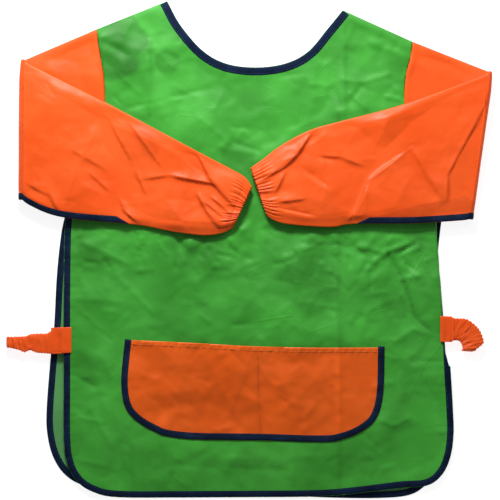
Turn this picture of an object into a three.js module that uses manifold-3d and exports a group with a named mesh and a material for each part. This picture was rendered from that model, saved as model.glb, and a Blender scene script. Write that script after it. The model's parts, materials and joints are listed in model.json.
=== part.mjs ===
// A child's artist smock, lying on its back with both sleeves folded over the chest.
// Millimetres. +X is the viewer's right, +Y points to the neck, +Z points out of the smock's front.
// The origin is on the table, under the middle of the back panel.

import * as THREE from 'three';
import { mergeVertices } from 'three/addons/utils/BufferGeometryUtils.js';
import Module from 'manifold-3d';

const wasm = await Module();
wasm.setup();

// Driving dimensions: cloth and tape
const cloth = 0.8; // thickness that one layer of nylon is given
const tape = 0.5; // one fold of the binding tape
const tapeWidth = 8; // finished width of the binding
const neckTapeWidth = 9.5;
const joinGap = 0.3; // between pieces that are sewn together
const creaseGap = 0.15; // from the sleeve crease to each half of the sleeve
const seamWidth = 7; // folded edges behind a seam
const rimStep = 2; // where the back panel steps up towards its binding
const overrun = 2; // how far a cutting solid reaches past what it cuts
const overlap = 1; // how far solids that become one piece reach into each other

// Driving dimensions: body
const shoulderY = 293;
const hemY = -300;
const neckHalfWidth = 106;
const neckDepth = 75;
const shoulderTip = [191, 256];
const underarm = [226, 50];
const hemHalfWidth = 234;
const hemCorner = 62;
const bodySpace = 6; // between the front and the back panel
const shoulderTilt = 0.027; // the shoulders lie a little lower on the right
const hemRise = 0.09; // the hem lies a little higher towards the right corner
const hemRiseStart = 60; // from the middle of the hem
const hemRiseTop = 110; // above the hem, where the rise has died out
const hemRiseBlend = 80;
const armholeTopHandle = [17, -56]; // curve handles, from the shoulder tip and from the underarm
const armholeBottomHandle = [46, 60];
const hemPoints = [-110, -55, 0, 55, 110]; // along the straight part of the hem
const backSway = 0.07; // the back panel lies askew, further left towards its hem
const backTilt = 0.035;
const backTiltBlend = 200;

// Driving dimensions: sleeves, in the left sleeve's terms
const forearmLength = 319; // along the top fold, from the crease to the cuff
const cuffWidth = 54;
const cuffLength = 13; // casing that holds the elastic
const cuffHeight = 9.2; // gathers stand taller than the flat sleeve
const elasticThickness = 0.7;
const elasticLength = 7;
const gatherLength = 26;
const gatherWidth = 79;
const slitLength = 145; // open, bound stretch of the forearm's lower edge
const sleeveSpace = 4.8; // inside the folded forearm
const creaseClear = 60; // how much is cut away beyond a crease
const floorGap = 0.2;
const chestGap = 0.4; // between the front panel's binding and the forearm's binding

// Driving dimensions: pocket
const pocketWidth = 316;
const pocketDepth = 120;
const pocketCorner = 54;
const pocketMiddle = [-3, -114]; // middle of the top edge
const pocketTurn = -0.03;
const pocketSpace = 5.4;
const pocketHem = 13;
const dividerOffset = 6;
const dividerWidth = 1.6;
const threadWidth = 0.6;

// Driving dimensions: side straps
const strapThickness = 3.2;
const strapWall = 0.6;
const strapElastic = 1.4;
const tipLength = 8; // stitched end where the two halves of a strap meet

// Heights of the layers
const tapeHeight = 2 * tape + 2 * joinGap + cloth;
const rimLift = tape + joinGap; // the cloth steps up onto the lower fold of its binding
const frontBottom = cloth + bodySpace;
const frontTop = frontBottom + cloth;
const frontTapeBottom = frontBottom - rimLift;
const frontTapeTop = frontTapeBottom + tapeHeight;
const forearmBottom = frontTapeTop + chestGap + rimLift;
const forearmTop = forearmBottom + sleeveSpace + 2 * cloth;
const cuffBottom = forearmBottom - rimLift;
const cuffTop = cuffBottom + cuffHeight;
const creaseHeight = (cuffTop + floorGap) / 2; // so that an unfolded sleeve clears the table
const pocketBottom = frontTop + joinGap;
const pocketTop = pocketBottom + pocketSpace + cloth;

const nylonGreen = { color: 0x4fae3c, roughness: 0.5 };
const nylonOrange = { color: 0xfb6226, roughness: 0.5 };
const pocketOrange = { color: 0xc8551a, roughness: 0.5 };
const tapeNavy = { color: 0x0e2848, roughness: 0.65 };
const elasticWhite = { color: 0xe9e6df, roughness: 0.8 };
const threadOrange = { color: 0xb8480f, roughness: 0.7 };

// Plane geometry

function smoothStep(t) {
  const c = THREE.MathUtils.clamp(t, 0, 1);
  return c * c * (3 - 2 * c);
}

function direction(angle) {
  return [Math.cos(angle), Math.sin(angle)];
}

function wayTo(a, b) {
  return new THREE.Vector2(b[0] - a[0], b[1] - a[1]).normalize().toArray();
}

function along(point, way, distance) {
  return [point[0] + way[0] * distance, point[1] + way[1] * distance];
}

function bezier(points, steps) {
  const vectors = points.map((p) => new THREE.Vector2(...p));
  const curve = new THREE.CubicBezierCurve(...vectors);
  return curve.getPoints(steps).map((p) => [p.x, p.y]);
}

function mirrored(points) {
  return points.map(([x, y]) => [-x, y]);
}

// Where two lines meet, each moved to its left by its own distance; a, b and c are the corner's points.
function movedCorner(a, b, c, before, after) {
  const one = new THREE.Vector2(b[0] - a[0], b[1] - a[1]).normalize();
  const two = new THREE.Vector2(c[0] - b[0], c[1] - b[1]).normalize();
  const cross = one.x * two.y - one.y * two.x;
  if (Math.abs(cross) < 1e-3) {
    return [b[0] - one.y * before, b[1] + one.x * before];
  }
  const reach = (after - before * (one.x * two.x + one.y * two.y)) / -cross;
  return [b[0] - one.y * before + one.x * reach, b[1] + one.x * before + one.y * reach];
}

function movedPath(path, distance) {
  return path.map((point, i) => {
    const last = path.length - 1;
    const a = i > 0 ? path[i - 1] : [2 * point[0] - path[1][0], 2 * point[1] - path[1][1]];
    const c = i < last ? path[i + 1] : [2 * point[0] - path[i - 1][0], 2 * point[1] - path[i - 1][1]];
    return movedCorner(a, point, c, distance, distance);
  });
}

// Each side of a counter-clockwise outline moves inwards by its own distance; side i starts at point i.
function movedOutline(outline, distances) {
  const count = outline.length;
  return outline.map((point, i) => {
    const before = (i + count - 1) % count;
    return movedCorner(outline[before], point, outline[(i + 1) % count], distances[before], distances[i]);
  });
}

// Solids

function plate(outline, low, high) {
  const shape = new THREE.Shape(outline.map((p) => new THREE.Vector2(...p)));
  const extruded = new THREE.ExtrudeGeometry(shape, { depth: high - low, bevelEnabled: false });
  extruded.translate(0, 0, low);
  extruded.deleteAttribute('normal');
  extruded.deleteAttribute('uv');
  const merged = mergeVertices(extruded, 1e-4);
  return new wasm.Manifold(
    new wasm.Mesh({
      numProp: 3,
      vertProperties: merged.attributes.position.array,
      triVerts: new Uint32Array(merged.index.array),
    }),
  );
}

// A strip to the left of a path, between two distances from it.
function strip(path, near, far, low, high) {
  return plate([...movedPath(path, near), ...movedPath(path, far).reverse()], low, high);
}

// Binding tape folded round a cloth edge: two folds and the bend that joins them.
function binding(path, width, low) {
  const high = low + tapeHeight;
  return strip(path, 0, width, low, low + tape)
    .add(strip(path, 0, tape, low, high))
    .add(strip(path, 0, width, high - tape, high));
}

// A flattened tube: the sides named open have no wall.
function flatTube(outline, low, high, wall, open) {
  const past = wall + overrun;
  const inner = movedOutline(outline, outline.map((_, i) => (open.includes(i) ? -past : wall)));
  return plate(outline, low, high).subtract(plate(inner, low + wall, high - wall));
}

const smock = new THREE.Group();

function addPiece(name, solid, look, sign = -1) {
  const placed = sign > 0 ? solid.mirror([1, 0, 0]) : solid;
  const mesh = placed.getMesh();
  const geometry = new THREE.BufferGeometry();
  geometry.setAttribute('position', new THREE.BufferAttribute(mesh.vertProperties, 3));
  geometry.setIndex(new THREE.BufferAttribute(mesh.triVerts, 1));
  geometry.computeVertexNormals();
  const material = new THREE.MeshStandardMaterial({ ...look, metalness: 0 });
  const piece = new THREE.Mesh(geometry, material);
  piece.name = name;
  smock.add(piece);
}

// The body's edges, counter-clockwise, so that the cloth is on the left of each path

function frontLay([x, y]) {
  const tilt = shoulderTilt * smoothStep((y - underarm[1]) / (shoulderY - underarm[1]));
  const rise = hemRise * smoothStep((hemY + hemRiseTop - y) / hemRiseBlend);
  return [x, y - tilt * x + rise * Math.max(0, x - hemRiseStart)];
}

function backLay([x, y]) {
  const below = Math.max(0, underarm[1] - y);
  const tilt = shoulderTilt * smoothStep((y - underarm[1]) / (shoulderY - underarm[1]));
  const turn = backTilt * smoothStep(below / backTiltBlend);
  return [x - backSway * below, y - (tilt + turn) * x];
}

const neckBottom = shoulderY - neckDepth;
const neckHalf = bezier(
  [
    [neckHalfWidth, shoulderY],
    [0.77 * neckHalfWidth, shoulderY - 0.6 * neckDepth],
    [0.47 * neckHalfWidth, neckBottom],
    [0, neckBottom],
  ],
  12,
);
const neckPath = [...neckHalf, ...mirrored(neckHalf).reverse().slice(1)];

const armholePath = bezier(
  [
    [-shoulderTip[0], shoulderTip[1]],
    [armholeTopHandle[0] - shoulderTip[0], armholeTopHandle[1] + shoulderTip[1]],
    [armholeBottomHandle[0] - underarm[0], armholeBottomHandle[1] + underarm[1]],
    [-underarm[0], underarm[1]],
  ],
  12,
);

const hemHalf = bezier(
  [
    [-hemHalfWidth, hemY + hemCorner],
    [-hemHalfWidth, hemY + 0.35 * hemCorner],
    [-hemHalfWidth + 0.4 * hemCorner, hemY],
    [-hemHalfWidth + 1.1 * hemCorner, hemY],
  ],
  8,
);
const sideHalf = [0, 0.25, 0.5, 0.75].map((t) => [
  THREE.MathUtils.lerp(-underarm[0], -hemHalfWidth, t),
  THREE.MathUtils.lerp(underarm[1], hemY + hemCorner, t),
]);
const hemMiddle = hemPoints.map((x) => [x, hemY]);
const edgePath = [
  ...sideHalf,
  ...hemHalf,
  ...hemMiddle,
  ...mirrored(hemHalf).reverse(),
  ...mirrored(sideHalf).reverse(),
];

function bodyOutline(lay) {
  return [
    ...edgePath.map(lay),
    ...movedPath(mirrored(armholePath).reverse().map(lay), creaseGap),
    ...neckPath.map(lay),
    ...movedPath(armholePath.map(lay), creaseGap),
  ];
}

// A path made longer at both ends.
function extended(path, distance) {
  const ahead = (a, b) => along(b, wayTo(a, b), distance);
  return [ahead(path[1], path[0]), ...path, ahead(path.at(-2), path.at(-1))];
}

// A border of the cloth, up to a margin past the width that its binding covers.
function boundBorder(lay, margin, low, high) {
  const past = -tapeWidth;
  const [edge, neck] = [edgePath, neckPath].map((path) => extended(path.map(lay), tapeWidth + margin));
  return strip(edge, past, tapeWidth + margin, low, high).add(
    strip(neck, past, neckTapeWidth + margin, low, high),
  );
}

// A panel of the body, cut back to fit inside the bend of its bindings.
function bodyPanel(lay, low, high) {
  const bend = tape + joinGap;
  const outside = [edgePath, neckPath].map((path) =>
    strip(extended(path.map(lay), tapeWidth), -tapeWidth, bend, low - overlap, high + overlap),
  );
  return plate(bodyOutline(lay), low, high).subtract(outside[0]).subtract(outside[1]);
}

function makeBody() {
  const rimTop = rimLift + cloth;
  const [under, over] = [-overlap, rimTop + overlap];
  const middle = bodyPanel(backLay, 0, cloth).subtract(boundBorder(backLay, joinGap, under, rimTop));
  const step = bodyPanel(backLay, 0, rimTop)
    .intersect(boundBorder(backLay, joinGap + rimStep, under, over))
    .subtract(boundBorder(backLay, joinGap, under, over));
  const raised = boundBorder(backLay, joinGap + rimStep / 2, 0, over);
  const rim = bodyPanel(backLay, rimLift, rimTop).intersect(raised);
  addPiece('front_panel', bodyPanel(frontLay, frontBottom, frontTop), nylonGreen);
  addPiece('back_panel', middle.add(step).add(rim), nylonGreen);
  for (const [name, lay, low] of [
    ['front', frontLay, frontTapeBottom],
    ['back', backLay, 0],
  ]) {
    addPiece(`${name}_neck_binding`, binding(neckPath.map(lay), neckTapeWidth, low), tapeNavy);
    addPiece(`${name}_edge_binding`, binding(edgePath.map(lay), tapeWidth, low), tapeNavy);
  }
}

// Sides. Both are described and built as a left side, and the right one is mirrored.

const sides = [
  {
    name: 'left',
    sign: -1,
    creaseTop: [-283, 228],
    creaseBottom: [-284, 59],
    forearmAngle: THREE.MathUtils.degToRad(-28.9),
    slitAngle: THREE.MathUtils.degToRad(-12),
    reach: forearmLength,
    strapBase: [-95, -125],
    strapTop: [[-250, -101], [-293, -105]],
    strapBottom: [[-293, -122], [-262, -126]],
    tip: direction(Math.PI),
  },
  {
    name: 'right',
    sign: 1,
    creaseTop: [-287, 213],
    creaseBottom: [-262, 35],
    forearmAngle: THREE.MathUtils.degToRad(-21.8),
    slitAngle: THREE.MathUtils.degToRad(-2),
    reach: forearmLength - 3,
    strapBase: [-81, -112],
    strapTop: [[-255, -84], [-270, -95], [-276, -115]],
    strapBottom: [[-252, -115], [-246, -112]],
    tip: direction(-Math.PI / 2),
  },
];

function laidArmhole(side, lay) {
  const path = side.sign > 0 ? mirrored(armholePath) : armholePath;
  const laid = path.map(lay);
  return side.sign > 0 ? mirrored(laid) : laid;
}

function laidEdgeX(side, lay, y) {
  const path = edgePath.map(lay);
  const wanted = (side.sign > 0 ? mirrored(path).reverse() : path).slice(0, sideHalf.length + 1);
  const below = wanted.findIndex((p) => p[1] < y);
  const [a, b] = [wanted[below - 1], wanted[below]];
  return THREE.MathUtils.mapLinear(y, a[1], b[1], a[0], b[0]);
}

// The crease, from its top to its bottom, moved towards the body to leave room for the fold.
function creaseLine(side) {
  return movedPath([side.creaseTop, side.creaseBottom], creaseGap);
}

function beyondCrease(side, low, high) {
  return strip(extended(creaseLine(side), creaseClear), -creaseClear, 0, low, high);
}

function upperOutline(side) {
  const armhole = movedPath(laidArmhole(side, frontLay), -creaseGap).reverse();
  return [...armhole, ...creaseLine(side)];
}

function makeUpperSleeve(side) {
  const outline = upperOutline(side);
  const count = outline.length;
  const [topFold, crease, under] = [count - 3, count - 2, count - 1];
  const bound = outline.map((_, i) => (i === under ? tape + joinGap : 0));
  const sheet = movedOutline(outline, bound);
  const open = outline.map((_, i) => i).filter((i) => i !== topFold);
  const low = rimLift;
  addPiece(`${side.name}_upper_sleeve`, flatTube(sheet, low, frontTop, cloth, open), nylonOrange, side.sign);
  const [from, to] = [outline[under], outline[0]];
  const way = wayTo(from, to);
  const path = [along(from, way, -tapeWidth), along(to, way, -joinGap - tapeWidth / 2)];
  for (const [layer, level] of [
    ['front', frontTapeBottom],
    ['back', 0],
  ]) {
    const cut = beyondCrease(side, -overlap, frontTapeTop + overlap);
    const tapeSolid = binding(path, tapeWidth, level).subtract(cut);
    addPiece(`${side.name}_upper_binding_${layer}`, tapeSolid, tapeNavy, side.sign);
  }
}

function forearmPoints(side) {
  const way = direction(side.forearmAngle);
  const across = direction(side.forearmAngle - Math.PI / 2);
  const [top, bottom] = creaseLine(side);
  const cuffCorner = along(side.creaseTop, way, side.reach);
  const casing = along(cuffCorner, way, -cuffLength);
  const gather = along(cuffCorner, way, -gatherLength - cuffLength / 2);
  return {
    way,
    across,
    top,
    bottom,
    casing,
    slitEnd: along(bottom, direction(side.slitAngle), slitLength),
    gatherBottom: along(gather, across, gatherWidth),
    casingBottom: along(casing, across, cuffWidth),
    cuffCorner,
  };
}

function makeForearm(side) {
  const p = forearmPoints(side);
  const [lower, upper] = [forearmBottom, forearmTop];
  const sleeveEnd = along(p.casing, p.way, -joinGap);
  const sleeveEndBottom = along(p.casingBottom, p.way, -joinGap);
  // counter-clockwise: crease, bound slit, closed lower edge, gathers, cuff end, top fold
  const outline = [p.top, p.bottom, p.slitEnd, p.gatherBottom, sleeveEndBottom, sleeveEnd];
  const sheet = movedOutline(outline, [0, tape + joinGap, 0, 0, 0, 0]);
  const sleeve = flatTube(sheet, lower, upper, cloth, [0, 1, 4]);
  addPiece(`${side.name}_forearm_sleeve`, sleeve, nylonOrange, side.sign);

  const slitWay = direction(side.slitAngle);
  const corner = along(p.slitEnd, slitWay, -joinGap);
  const slit = [along(p.bottom, slitWay, -tapeWidth), corner];
  const bar = movedPath(slit, tapeWidth);
  const bend = plate(
    [along(corner, slitWay, -tape - overlap), corner, bar[1], along(bar[1], slitWay, -tape - overlap)],
    lower - rimLift,
    upper + rimLift,
  );
  const mouth = plate(
    [
      along(corner, slitWay, -tape - overrun),
      along(corner, slitWay, overrun),
      along(bar[1], slitWay, overrun),
      along(bar[1], slitWay, -tape - overrun),
    ].map((q) => along(q, direction(side.slitAngle + Math.PI / 2), tape + joinGap)),
    lower - joinGap,
    upper + joinGap,
  );
  const folds = binding(slit, tapeWidth, lower - rimLift)
    .add(binding(slit, tapeWidth, upper - cloth - rimLift))
    .add(bend.subtract(mouth))
    .subtract(beyondCrease(side, 0, upper + tapeHeight));
  addPiece(`${side.name}_forearm_binding`, folds, tapeNavy, side.sign);
  makeCuff(side, p);
}

function makeCuff(side, p) {
  const end = p.cuffCorner;
  const outline = [p.casing, p.casingBottom, along(end, p.across, cuffWidth), end];
  const casing = flatTube(outline, cuffBottom, cuffTop, cloth, [0, 2]);
  addPiece(`${side.name}_cuff_casing`, casing, nylonOrange, side.sign);
  const inset = (cuffLength - elasticLength) / 2;
  const inner = cloth + joinGap;
  const band = movedOutline(outline, [inset, inner, inset, inner]);
  const elastic = flatTube(band, cuffBottom + inner, cuffTop - inner, elasticThickness, [0, 2]);
  addPiece(`${side.name}_cuff_elastic`, elastic, elasticWhite, side.sign);
}

// Seams that hold the front, the back and the sleeves together

function makeSeams(side) {
  const low = rimLift + cloth + joinGap;
  const high = frontBottom - joinGap;
  const armhole = laidArmhole(side, frontLay);
  const line = armhole.slice(1, -1);
  const half = seamWidth / 2;
  const [backLow, frontHigh] = [tapeHeight + joinGap, frontTapeBottom - joinGap];
  const front = strip(line, -half, half, frontHigh - cloth, frontHigh);
  const back = strip(line, -half, half, backLow, backLow + cloth);
  const post = strip(line.slice(0, 2), joinGap, half, backLow, frontHigh);
  addPiece(`${side.name}_armhole_seam`, front.add(back).add(post), nylonOrange, side.sign);

  const neckEnd = frontLay([side.sign * neckHalfWidth, shoulderY]);
  const a = [-Math.abs(neckEnd[0]), neckEnd[1]];
  const b = armhole[0];
  const way = wayTo(a, b);
  const from = along(a, way, neckTapeWidth + joinGap);
  const to = along(b, way, -seamWidth / 2 - 2 * joinGap);
  const seam = strip([from, to], joinGap, seamWidth, low, high);
  addPiece(`${side.name}_shoulder_seam`, seam, nylonGreen, side.sign);
}

// Side straps: a ruched casing over elastic, in a front and a back half that meet at the tip

function strapHalf(side, half, lay, level) {
  const edge = Math.max(...side.strapBase.map((y) => laidEdgeX(side, lay, y)));
  const base = Math.min(...side.strapBase.map((y) => laidEdgeX(side, lay, y))) - joinGap;
  const [topY, bottomY] = side.strapBase;
  const tab = [
    [base + joinGap, topY],
    [base + joinGap, bottomY],
    [edge + tapeWidth, bottomY],
    [edge + tapeWidth, topY],
  ];
  const name = `${side.name}_${half}_strap`;
  addPiece(`${name}_tab`, plate(tab, level, level + cloth), nylonOrange, side.sign);

  const outline = [[base, topY], ...side.strapTop, ...side.strapBottom, [base, bottomY]];
  const end = side.strapTop.length;
  const last = outline.length - 1;
  const low = level + cloth / 2 - strapThickness / 2;
  const casing = flatTube(outline, low, low + strapThickness, strapWall, [end, last]);
  addPiece(`${name}_casing`, casing, nylonOrange, side.sign);
  const clear = strapWall + joinGap;
  const inside = outline.map((_, i) => (i === end || i === last ? joinGap : clear + joinGap));
  const middle = low + strapThickness / 2;
  const elastic = plate(movedOutline(outline, inside), middle - strapElastic / 2, middle + strapElastic / 2);
  addPiece(`${name}_elastic`, elastic, elasticWhite, side.sign);
  return [low, low + strapThickness];
}

function makeStrap(side) {
  const [, frontHigh] = strapHalf(side, 'front', frontLay, frontTapeTop + joinGap);
  const [backLow] = strapHalf(side, 'back', backLay, tapeHeight + joinGap);
  const from = side.strapTop.at(-1);
  const to = side.strapBottom[0];
  const tip = [from, along(from, side.tip, tipLength), along(to, side.tip, tipLength), to].map((p) =>
    along(p, side.tip, joinGap),
  );
  addPiece(`${side.name}_strap_tip`, plate(tip, backLow, frontHigh), nylonOrange, side.sign);
}

// Pocket: one panel over two compartments, open at its top edge

function pocketPlace([x, y]) {
  const [c, s] = direction(pocketTurn);
  return [pocketMiddle[0] + x * c - y * s, pocketMiddle[1] + x * s + y * c];
}

function makePocket() {
  const half = pocketWidth / 2;
  const corner = bezier(
    [
      [-half, pocketCorner - pocketDepth],
      [-half, 0.4 * pocketCorner - pocketDepth],
      [-half + 0.4 * pocketCorner, -pocketDepth],
      [-half + pocketCorner, -pocketDepth],
    ],
    8,
  );
  const path = [[-half, 0], ...corner, ...mirrored(corner).reverse(), [half, 0]];
  const inEdge = tapeWidth + joinGap;
  const sheet = movedPath(path, inEdge);
  const top = sheet.length - 1;
  const place = (points) => points.map(pocketPlace);

  const wall = place(movedOutline(sheet, sheet.map((_, i) => (i === top ? -overrun : cloth))));
  const hollow = plate(wall, pocketBottom - overlap, pocketTop - cloth);
  const dividerLine = (width, low, high) => [
    [dividerOffset - width / 2, low],
    [dividerOffset + width / 2, low],
    [dividerOffset + width / 2, high],
    [dividerOffset - width / 2, high],
  ];
  const dividerEnd = inEdge + cloth / 2 - pocketDepth;
  const divider = plate(
    place(dividerLine(dividerWidth, dividerEnd, -pocketHem - joinGap)),
    pocketBottom,
    pocketTop - cloth / 2,
  );
  const panel = plate(place(sheet), pocketBottom, pocketTop).subtract(hollow).add(divider);
  addPiece('pocket_panel', panel, pocketOrange);

  const hemHalfLength = half - inEdge - cloth - joinGap;
  const hemStrip = [
    [-hemHalfLength, -pocketHem],
    [hemHalfLength, -pocketHem],
    [hemHalfLength, -joinGap],
    [-hemHalfLength, -joinGap],
  ];
  const hemTop = pocketTop - cloth - joinGap;
  addPiece('pocket_top_hem', plate(place(hemStrip), hemTop - tape, hemTop), nylonOrange);
  const pocketTape = strip(place(path), 0, tapeWidth, pocketBottom, pocketBottom + tapeHeight);
  addPiece('pocket_binding', pocketTape, tapeNavy);
  const thread = dividerLine(threadWidth, dividerEnd, -joinGap);
  const threadLow = pocketTop + joinGap;
  addPiece('pocket_divider_stitch', plate(place(thread), threadLow, threadLow + threadWidth), threadOrange);
}

makeBody();
makePocket();
for (const side of sides) {
  makeUpperSleeve(side);
  makeForearm(side);
  makeSeams(side);
  makeStrap(side);
}

// Sleeve hinges: each crease runs along the fold, half way up the folded sleeve.
smock.userData.hinges = sides.map((side) => {
  const [top, bottom] = [side.creaseTop, side.creaseBottom].map(
    ([x, y]) => new THREE.Vector3(side.sign > 0 ? -x : x, y, creaseHeight),
  );
  const [from, to] = side.sign > 0 ? [bottom, top] : [top, bottom];
  return { name: `${side.name}_sleeve_unfold`, point: top, axis: to.clone().sub(from).normalize() };
});

export default smock;
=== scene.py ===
# %% [markdown]
# # A child's artist smock, laid flat with its sleeves folded in
#
# The smock is thin, slightly glossy nylon: a green front and back, orange sleeves, an orange pocket, and
# navy tape over every cut edge. It lies on its back, so nearly everything we see is a sheet of cloth seen
# from above. This lesson builds each sheet from a flat cut, gives it height with a few wrinkle recipes,
# folds tape round its edge and sews it with small stitches.
#
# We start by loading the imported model. It is the frame that every piece is placed in.

# %% Load the frame
import json
import math

import bmesh
import bpy
import numpy as np
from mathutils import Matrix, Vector
from mathutils.kdtree import KDTree


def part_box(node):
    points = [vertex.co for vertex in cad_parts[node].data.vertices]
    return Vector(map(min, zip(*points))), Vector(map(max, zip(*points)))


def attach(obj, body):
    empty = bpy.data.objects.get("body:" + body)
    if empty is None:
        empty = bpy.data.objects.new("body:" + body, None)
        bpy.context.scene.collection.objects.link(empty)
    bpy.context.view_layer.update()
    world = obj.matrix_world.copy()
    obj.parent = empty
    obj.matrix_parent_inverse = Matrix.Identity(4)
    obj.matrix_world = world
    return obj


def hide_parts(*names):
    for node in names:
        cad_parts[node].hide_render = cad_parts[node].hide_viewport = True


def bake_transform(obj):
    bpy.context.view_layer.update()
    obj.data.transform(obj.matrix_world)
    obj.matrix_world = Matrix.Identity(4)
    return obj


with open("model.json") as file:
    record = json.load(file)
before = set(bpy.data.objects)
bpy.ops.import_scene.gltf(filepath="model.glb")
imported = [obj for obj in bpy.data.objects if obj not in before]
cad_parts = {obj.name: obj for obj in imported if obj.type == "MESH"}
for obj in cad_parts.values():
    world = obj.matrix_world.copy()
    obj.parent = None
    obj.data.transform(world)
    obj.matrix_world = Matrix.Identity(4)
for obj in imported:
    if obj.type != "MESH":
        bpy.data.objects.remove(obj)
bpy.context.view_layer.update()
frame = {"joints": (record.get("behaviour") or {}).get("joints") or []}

MM = 0.001

# %% [markdown]
# ## Camera and light
#
# The smock is seen from straight above, with its neck at the top of the picture. A long lens keeps the
# thickness of the folded sleeves from leaning outwards. The floor is nearly white. A small soft light stands
# low beyond the neck and rakes over the cloth, which is what shows its folds and lets it get a little darker
# towards the hem. A weaker light and a dim white world fill the shadows.

# %% Camera
VIEW_WIDTH = 0.605
CAMERA_HEIGHT = 2.6
SENSOR = 36.0


def show(name, data, place=(0, 0, 0)):
    """Puts a new object with this data in the scene."""
    made = bpy.data.objects.new(name, data)
    made.location = place
    bpy.context.scene.collection.objects.link(made)
    return made


camera_data = bpy.data.cameras.new("camera")
camera_data.sensor_width = SENSOR
camera_data.lens = SENSOR * CAMERA_HEIGHT / VIEW_WIDTH
bpy.context.scene.camera = show("camera", camera_data, (-0.006, -0.0015, CAMERA_HEIGHT))
print("lens:", round(camera_data.lens, 1), "mm")


# %% Lights
WORLD_LIGHT = 0.2


def area_light(name, place, target, size, power):
    data = bpy.data.lights.new(name, "AREA")
    data.shape = "DISK"
    data.size = size
    data.energy = power
    light = show(name, data, place)
    light.rotation_euler = (Vector(target) - Vector(place)).to_track_quat("-Z", "Y").to_euler()


area_light("key_light", (-0.16, 0.9, 0.64), (0, 0.06, 0), 0.26, 14.5)
area_light("side_light", (0.5, 0.9, 1.2), (0, 0, 0), 0.4, 2.0)

world = bpy.data.worlds.new("studio")
world.use_nodes = True
background = world.node_tree.nodes["Background"]
background.inputs["Color"].default_value = (1.0, 1.0, 1.0, 1.0)
background.inputs["Strength"].default_value = WORLD_LIGHT
bpy.context.scene.world = world
bpy.context.scene.view_settings.view_transform = "Standard"
print("two lights and a dim white world")

# %% Floor
FLOOR_SIZE = 12.0
FLOOR_DROP = 0.0004


def new_material(name, inputs):
    """A material with its node tree and its shader, whose inputs are given."""
    material = bpy.data.materials.new(name)
    material.use_nodes = True
    shader = material.node_tree.nodes["Principled BSDF"]
    for socket, value in inputs.items():
        shader.inputs[socket].default_value = value
    return material, material.node_tree, shader


floor_look = {
    "Base Color": (0.4, 0.4, 0.4, 1.0), "Roughness": 0.9,
    "Emission Color": (1.0, 1.0, 1.0, 1.0), "Emission Strength": 0.86,
}
floor_sheet = bmesh.new()
bmesh.ops.create_grid(floor_sheet, x_segments=2, y_segments=2, size=FLOOR_SIZE)
floor_mesh = bpy.data.meshes.new("floor")
floor_sheet.to_mesh(floor_mesh)
floor_sheet.free()
floor_mesh.materials.append(new_material("pale_floor", floor_look)[0])
floor = show("floor", floor_mesh, (0, 0, -FLOOR_DROP))
print("floor", 2 * FLOOR_SIZE, "m wide")

# %% [markdown]
# ## Cloth and tape materials
#
# Taffeta nylon is a plain weave of very fine thread. Close up it has a grid of threads, from further away
# it has soft broad glints that break up at every small crumple. So the shader gets four scales: a weave
# bump, a fine crumple bump, thin straight ridges, and a slow change of gloss and of colour, where the colour
# fades between a lit and a shaded copy as painted light and shade. All of them read Object coordinates,
# because every piece is kept at the origin with its place in its mesh. A point attribute paints more light
# and shade into the colour: it makes whole facets paler or darker, and paints shade over some patches and
# shade and light along some creases.


# %% Small helpers for node trees
def node(tree, kind, inputs=None, **values):
    """A new node with its settings, and with values for sockets that nothing is linked to."""
    made = tree.nodes.new(kind)
    for name, value in values.items():
        setattr(made, name, value)
    for socket, value in (inputs or {}).items():
        made.inputs[socket].default_value = value
    return made


def link(tree, source, output, target, socket):
    tree.links.new(source.outputs[output], target.inputs[socket])


def object_pattern(tree, kind, scale, inputs=None, **values):
    """A texture node of a given kind that reads Object coordinates."""
    texture = node(tree, kind, {"Scale": scale, **(inputs or {})}, **values)
    link(tree, node(tree, "ShaderNodeTexCoord"), "Object", texture, "Vector")
    return texture


def joined(tree, operation, output, first, second):
    """Two patterns added or multiplied."""
    made = node(tree, "ShaderNodeMath", operation=operation)
    link(tree, first, output, made, 0)
    link(tree, second, output, made, 1)
    return made


def bump(tree, source, output, height, strength, before=None):
    """Turns a pattern into relief, on top of the bump before it."""
    made = node(tree, "ShaderNodeBump", {"Strength": strength, "Distance": height})
    link(tree, source, output, made, "Height")
    if before is not None:
        link(tree, before, "Normal", made, "Normal")
    return made


def colour_ramp(tree, source, low, dark, high, pale):
    """Fades from a dark to a pale colour between two values of a pattern."""
    ramp = node(tree, "ShaderNodeValToRGB")
    for element, place, colour in zip(ramp.color_ramp.elements, (low, high), (dark, pale)):
        element.position = place
        element.color = (*colour, 1.0)
    link(tree, source, "Fac", ramp, "Fac")
    return ramp


# %% Nylon
THREAD_PITCH = 0.0005
WAVE_SCALE = 0.16


def fold_lines(tree, scale, reach, height, strength, before):
    """Thin straight ridges between flat facets, showing only in patches, as one more bump."""
    cells = object_pattern(tree, "ShaderNodeTexVoronoi", scale, feature="DISTANCE_TO_EDGE")
    near_edge = {"From Max": reach, "To Min": 1.0, "To Max": 0.0}
    ridge = node(tree, "ShaderNodeMapRange", near_edge, interpolation_type="SMOOTHSTEP")
    link(tree, cells, "Distance", ridge, "Value")
    patches = object_pattern(tree, "ShaderNodeTexNoise", 0.45 * scale)
    in_patch = {"From Min": 0.5, "From Max": 0.66}
    shown = node(tree, "ShaderNodeMapRange", in_patch, interpolation_type="SMOOTHSTEP")
    link(tree, patches, "Fac", shown, "Value")
    lines = joined(tree, "MULTIPLY", "Result", ridge, shown)
    return bump(tree, lines, "Value", height, strength, before)


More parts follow.
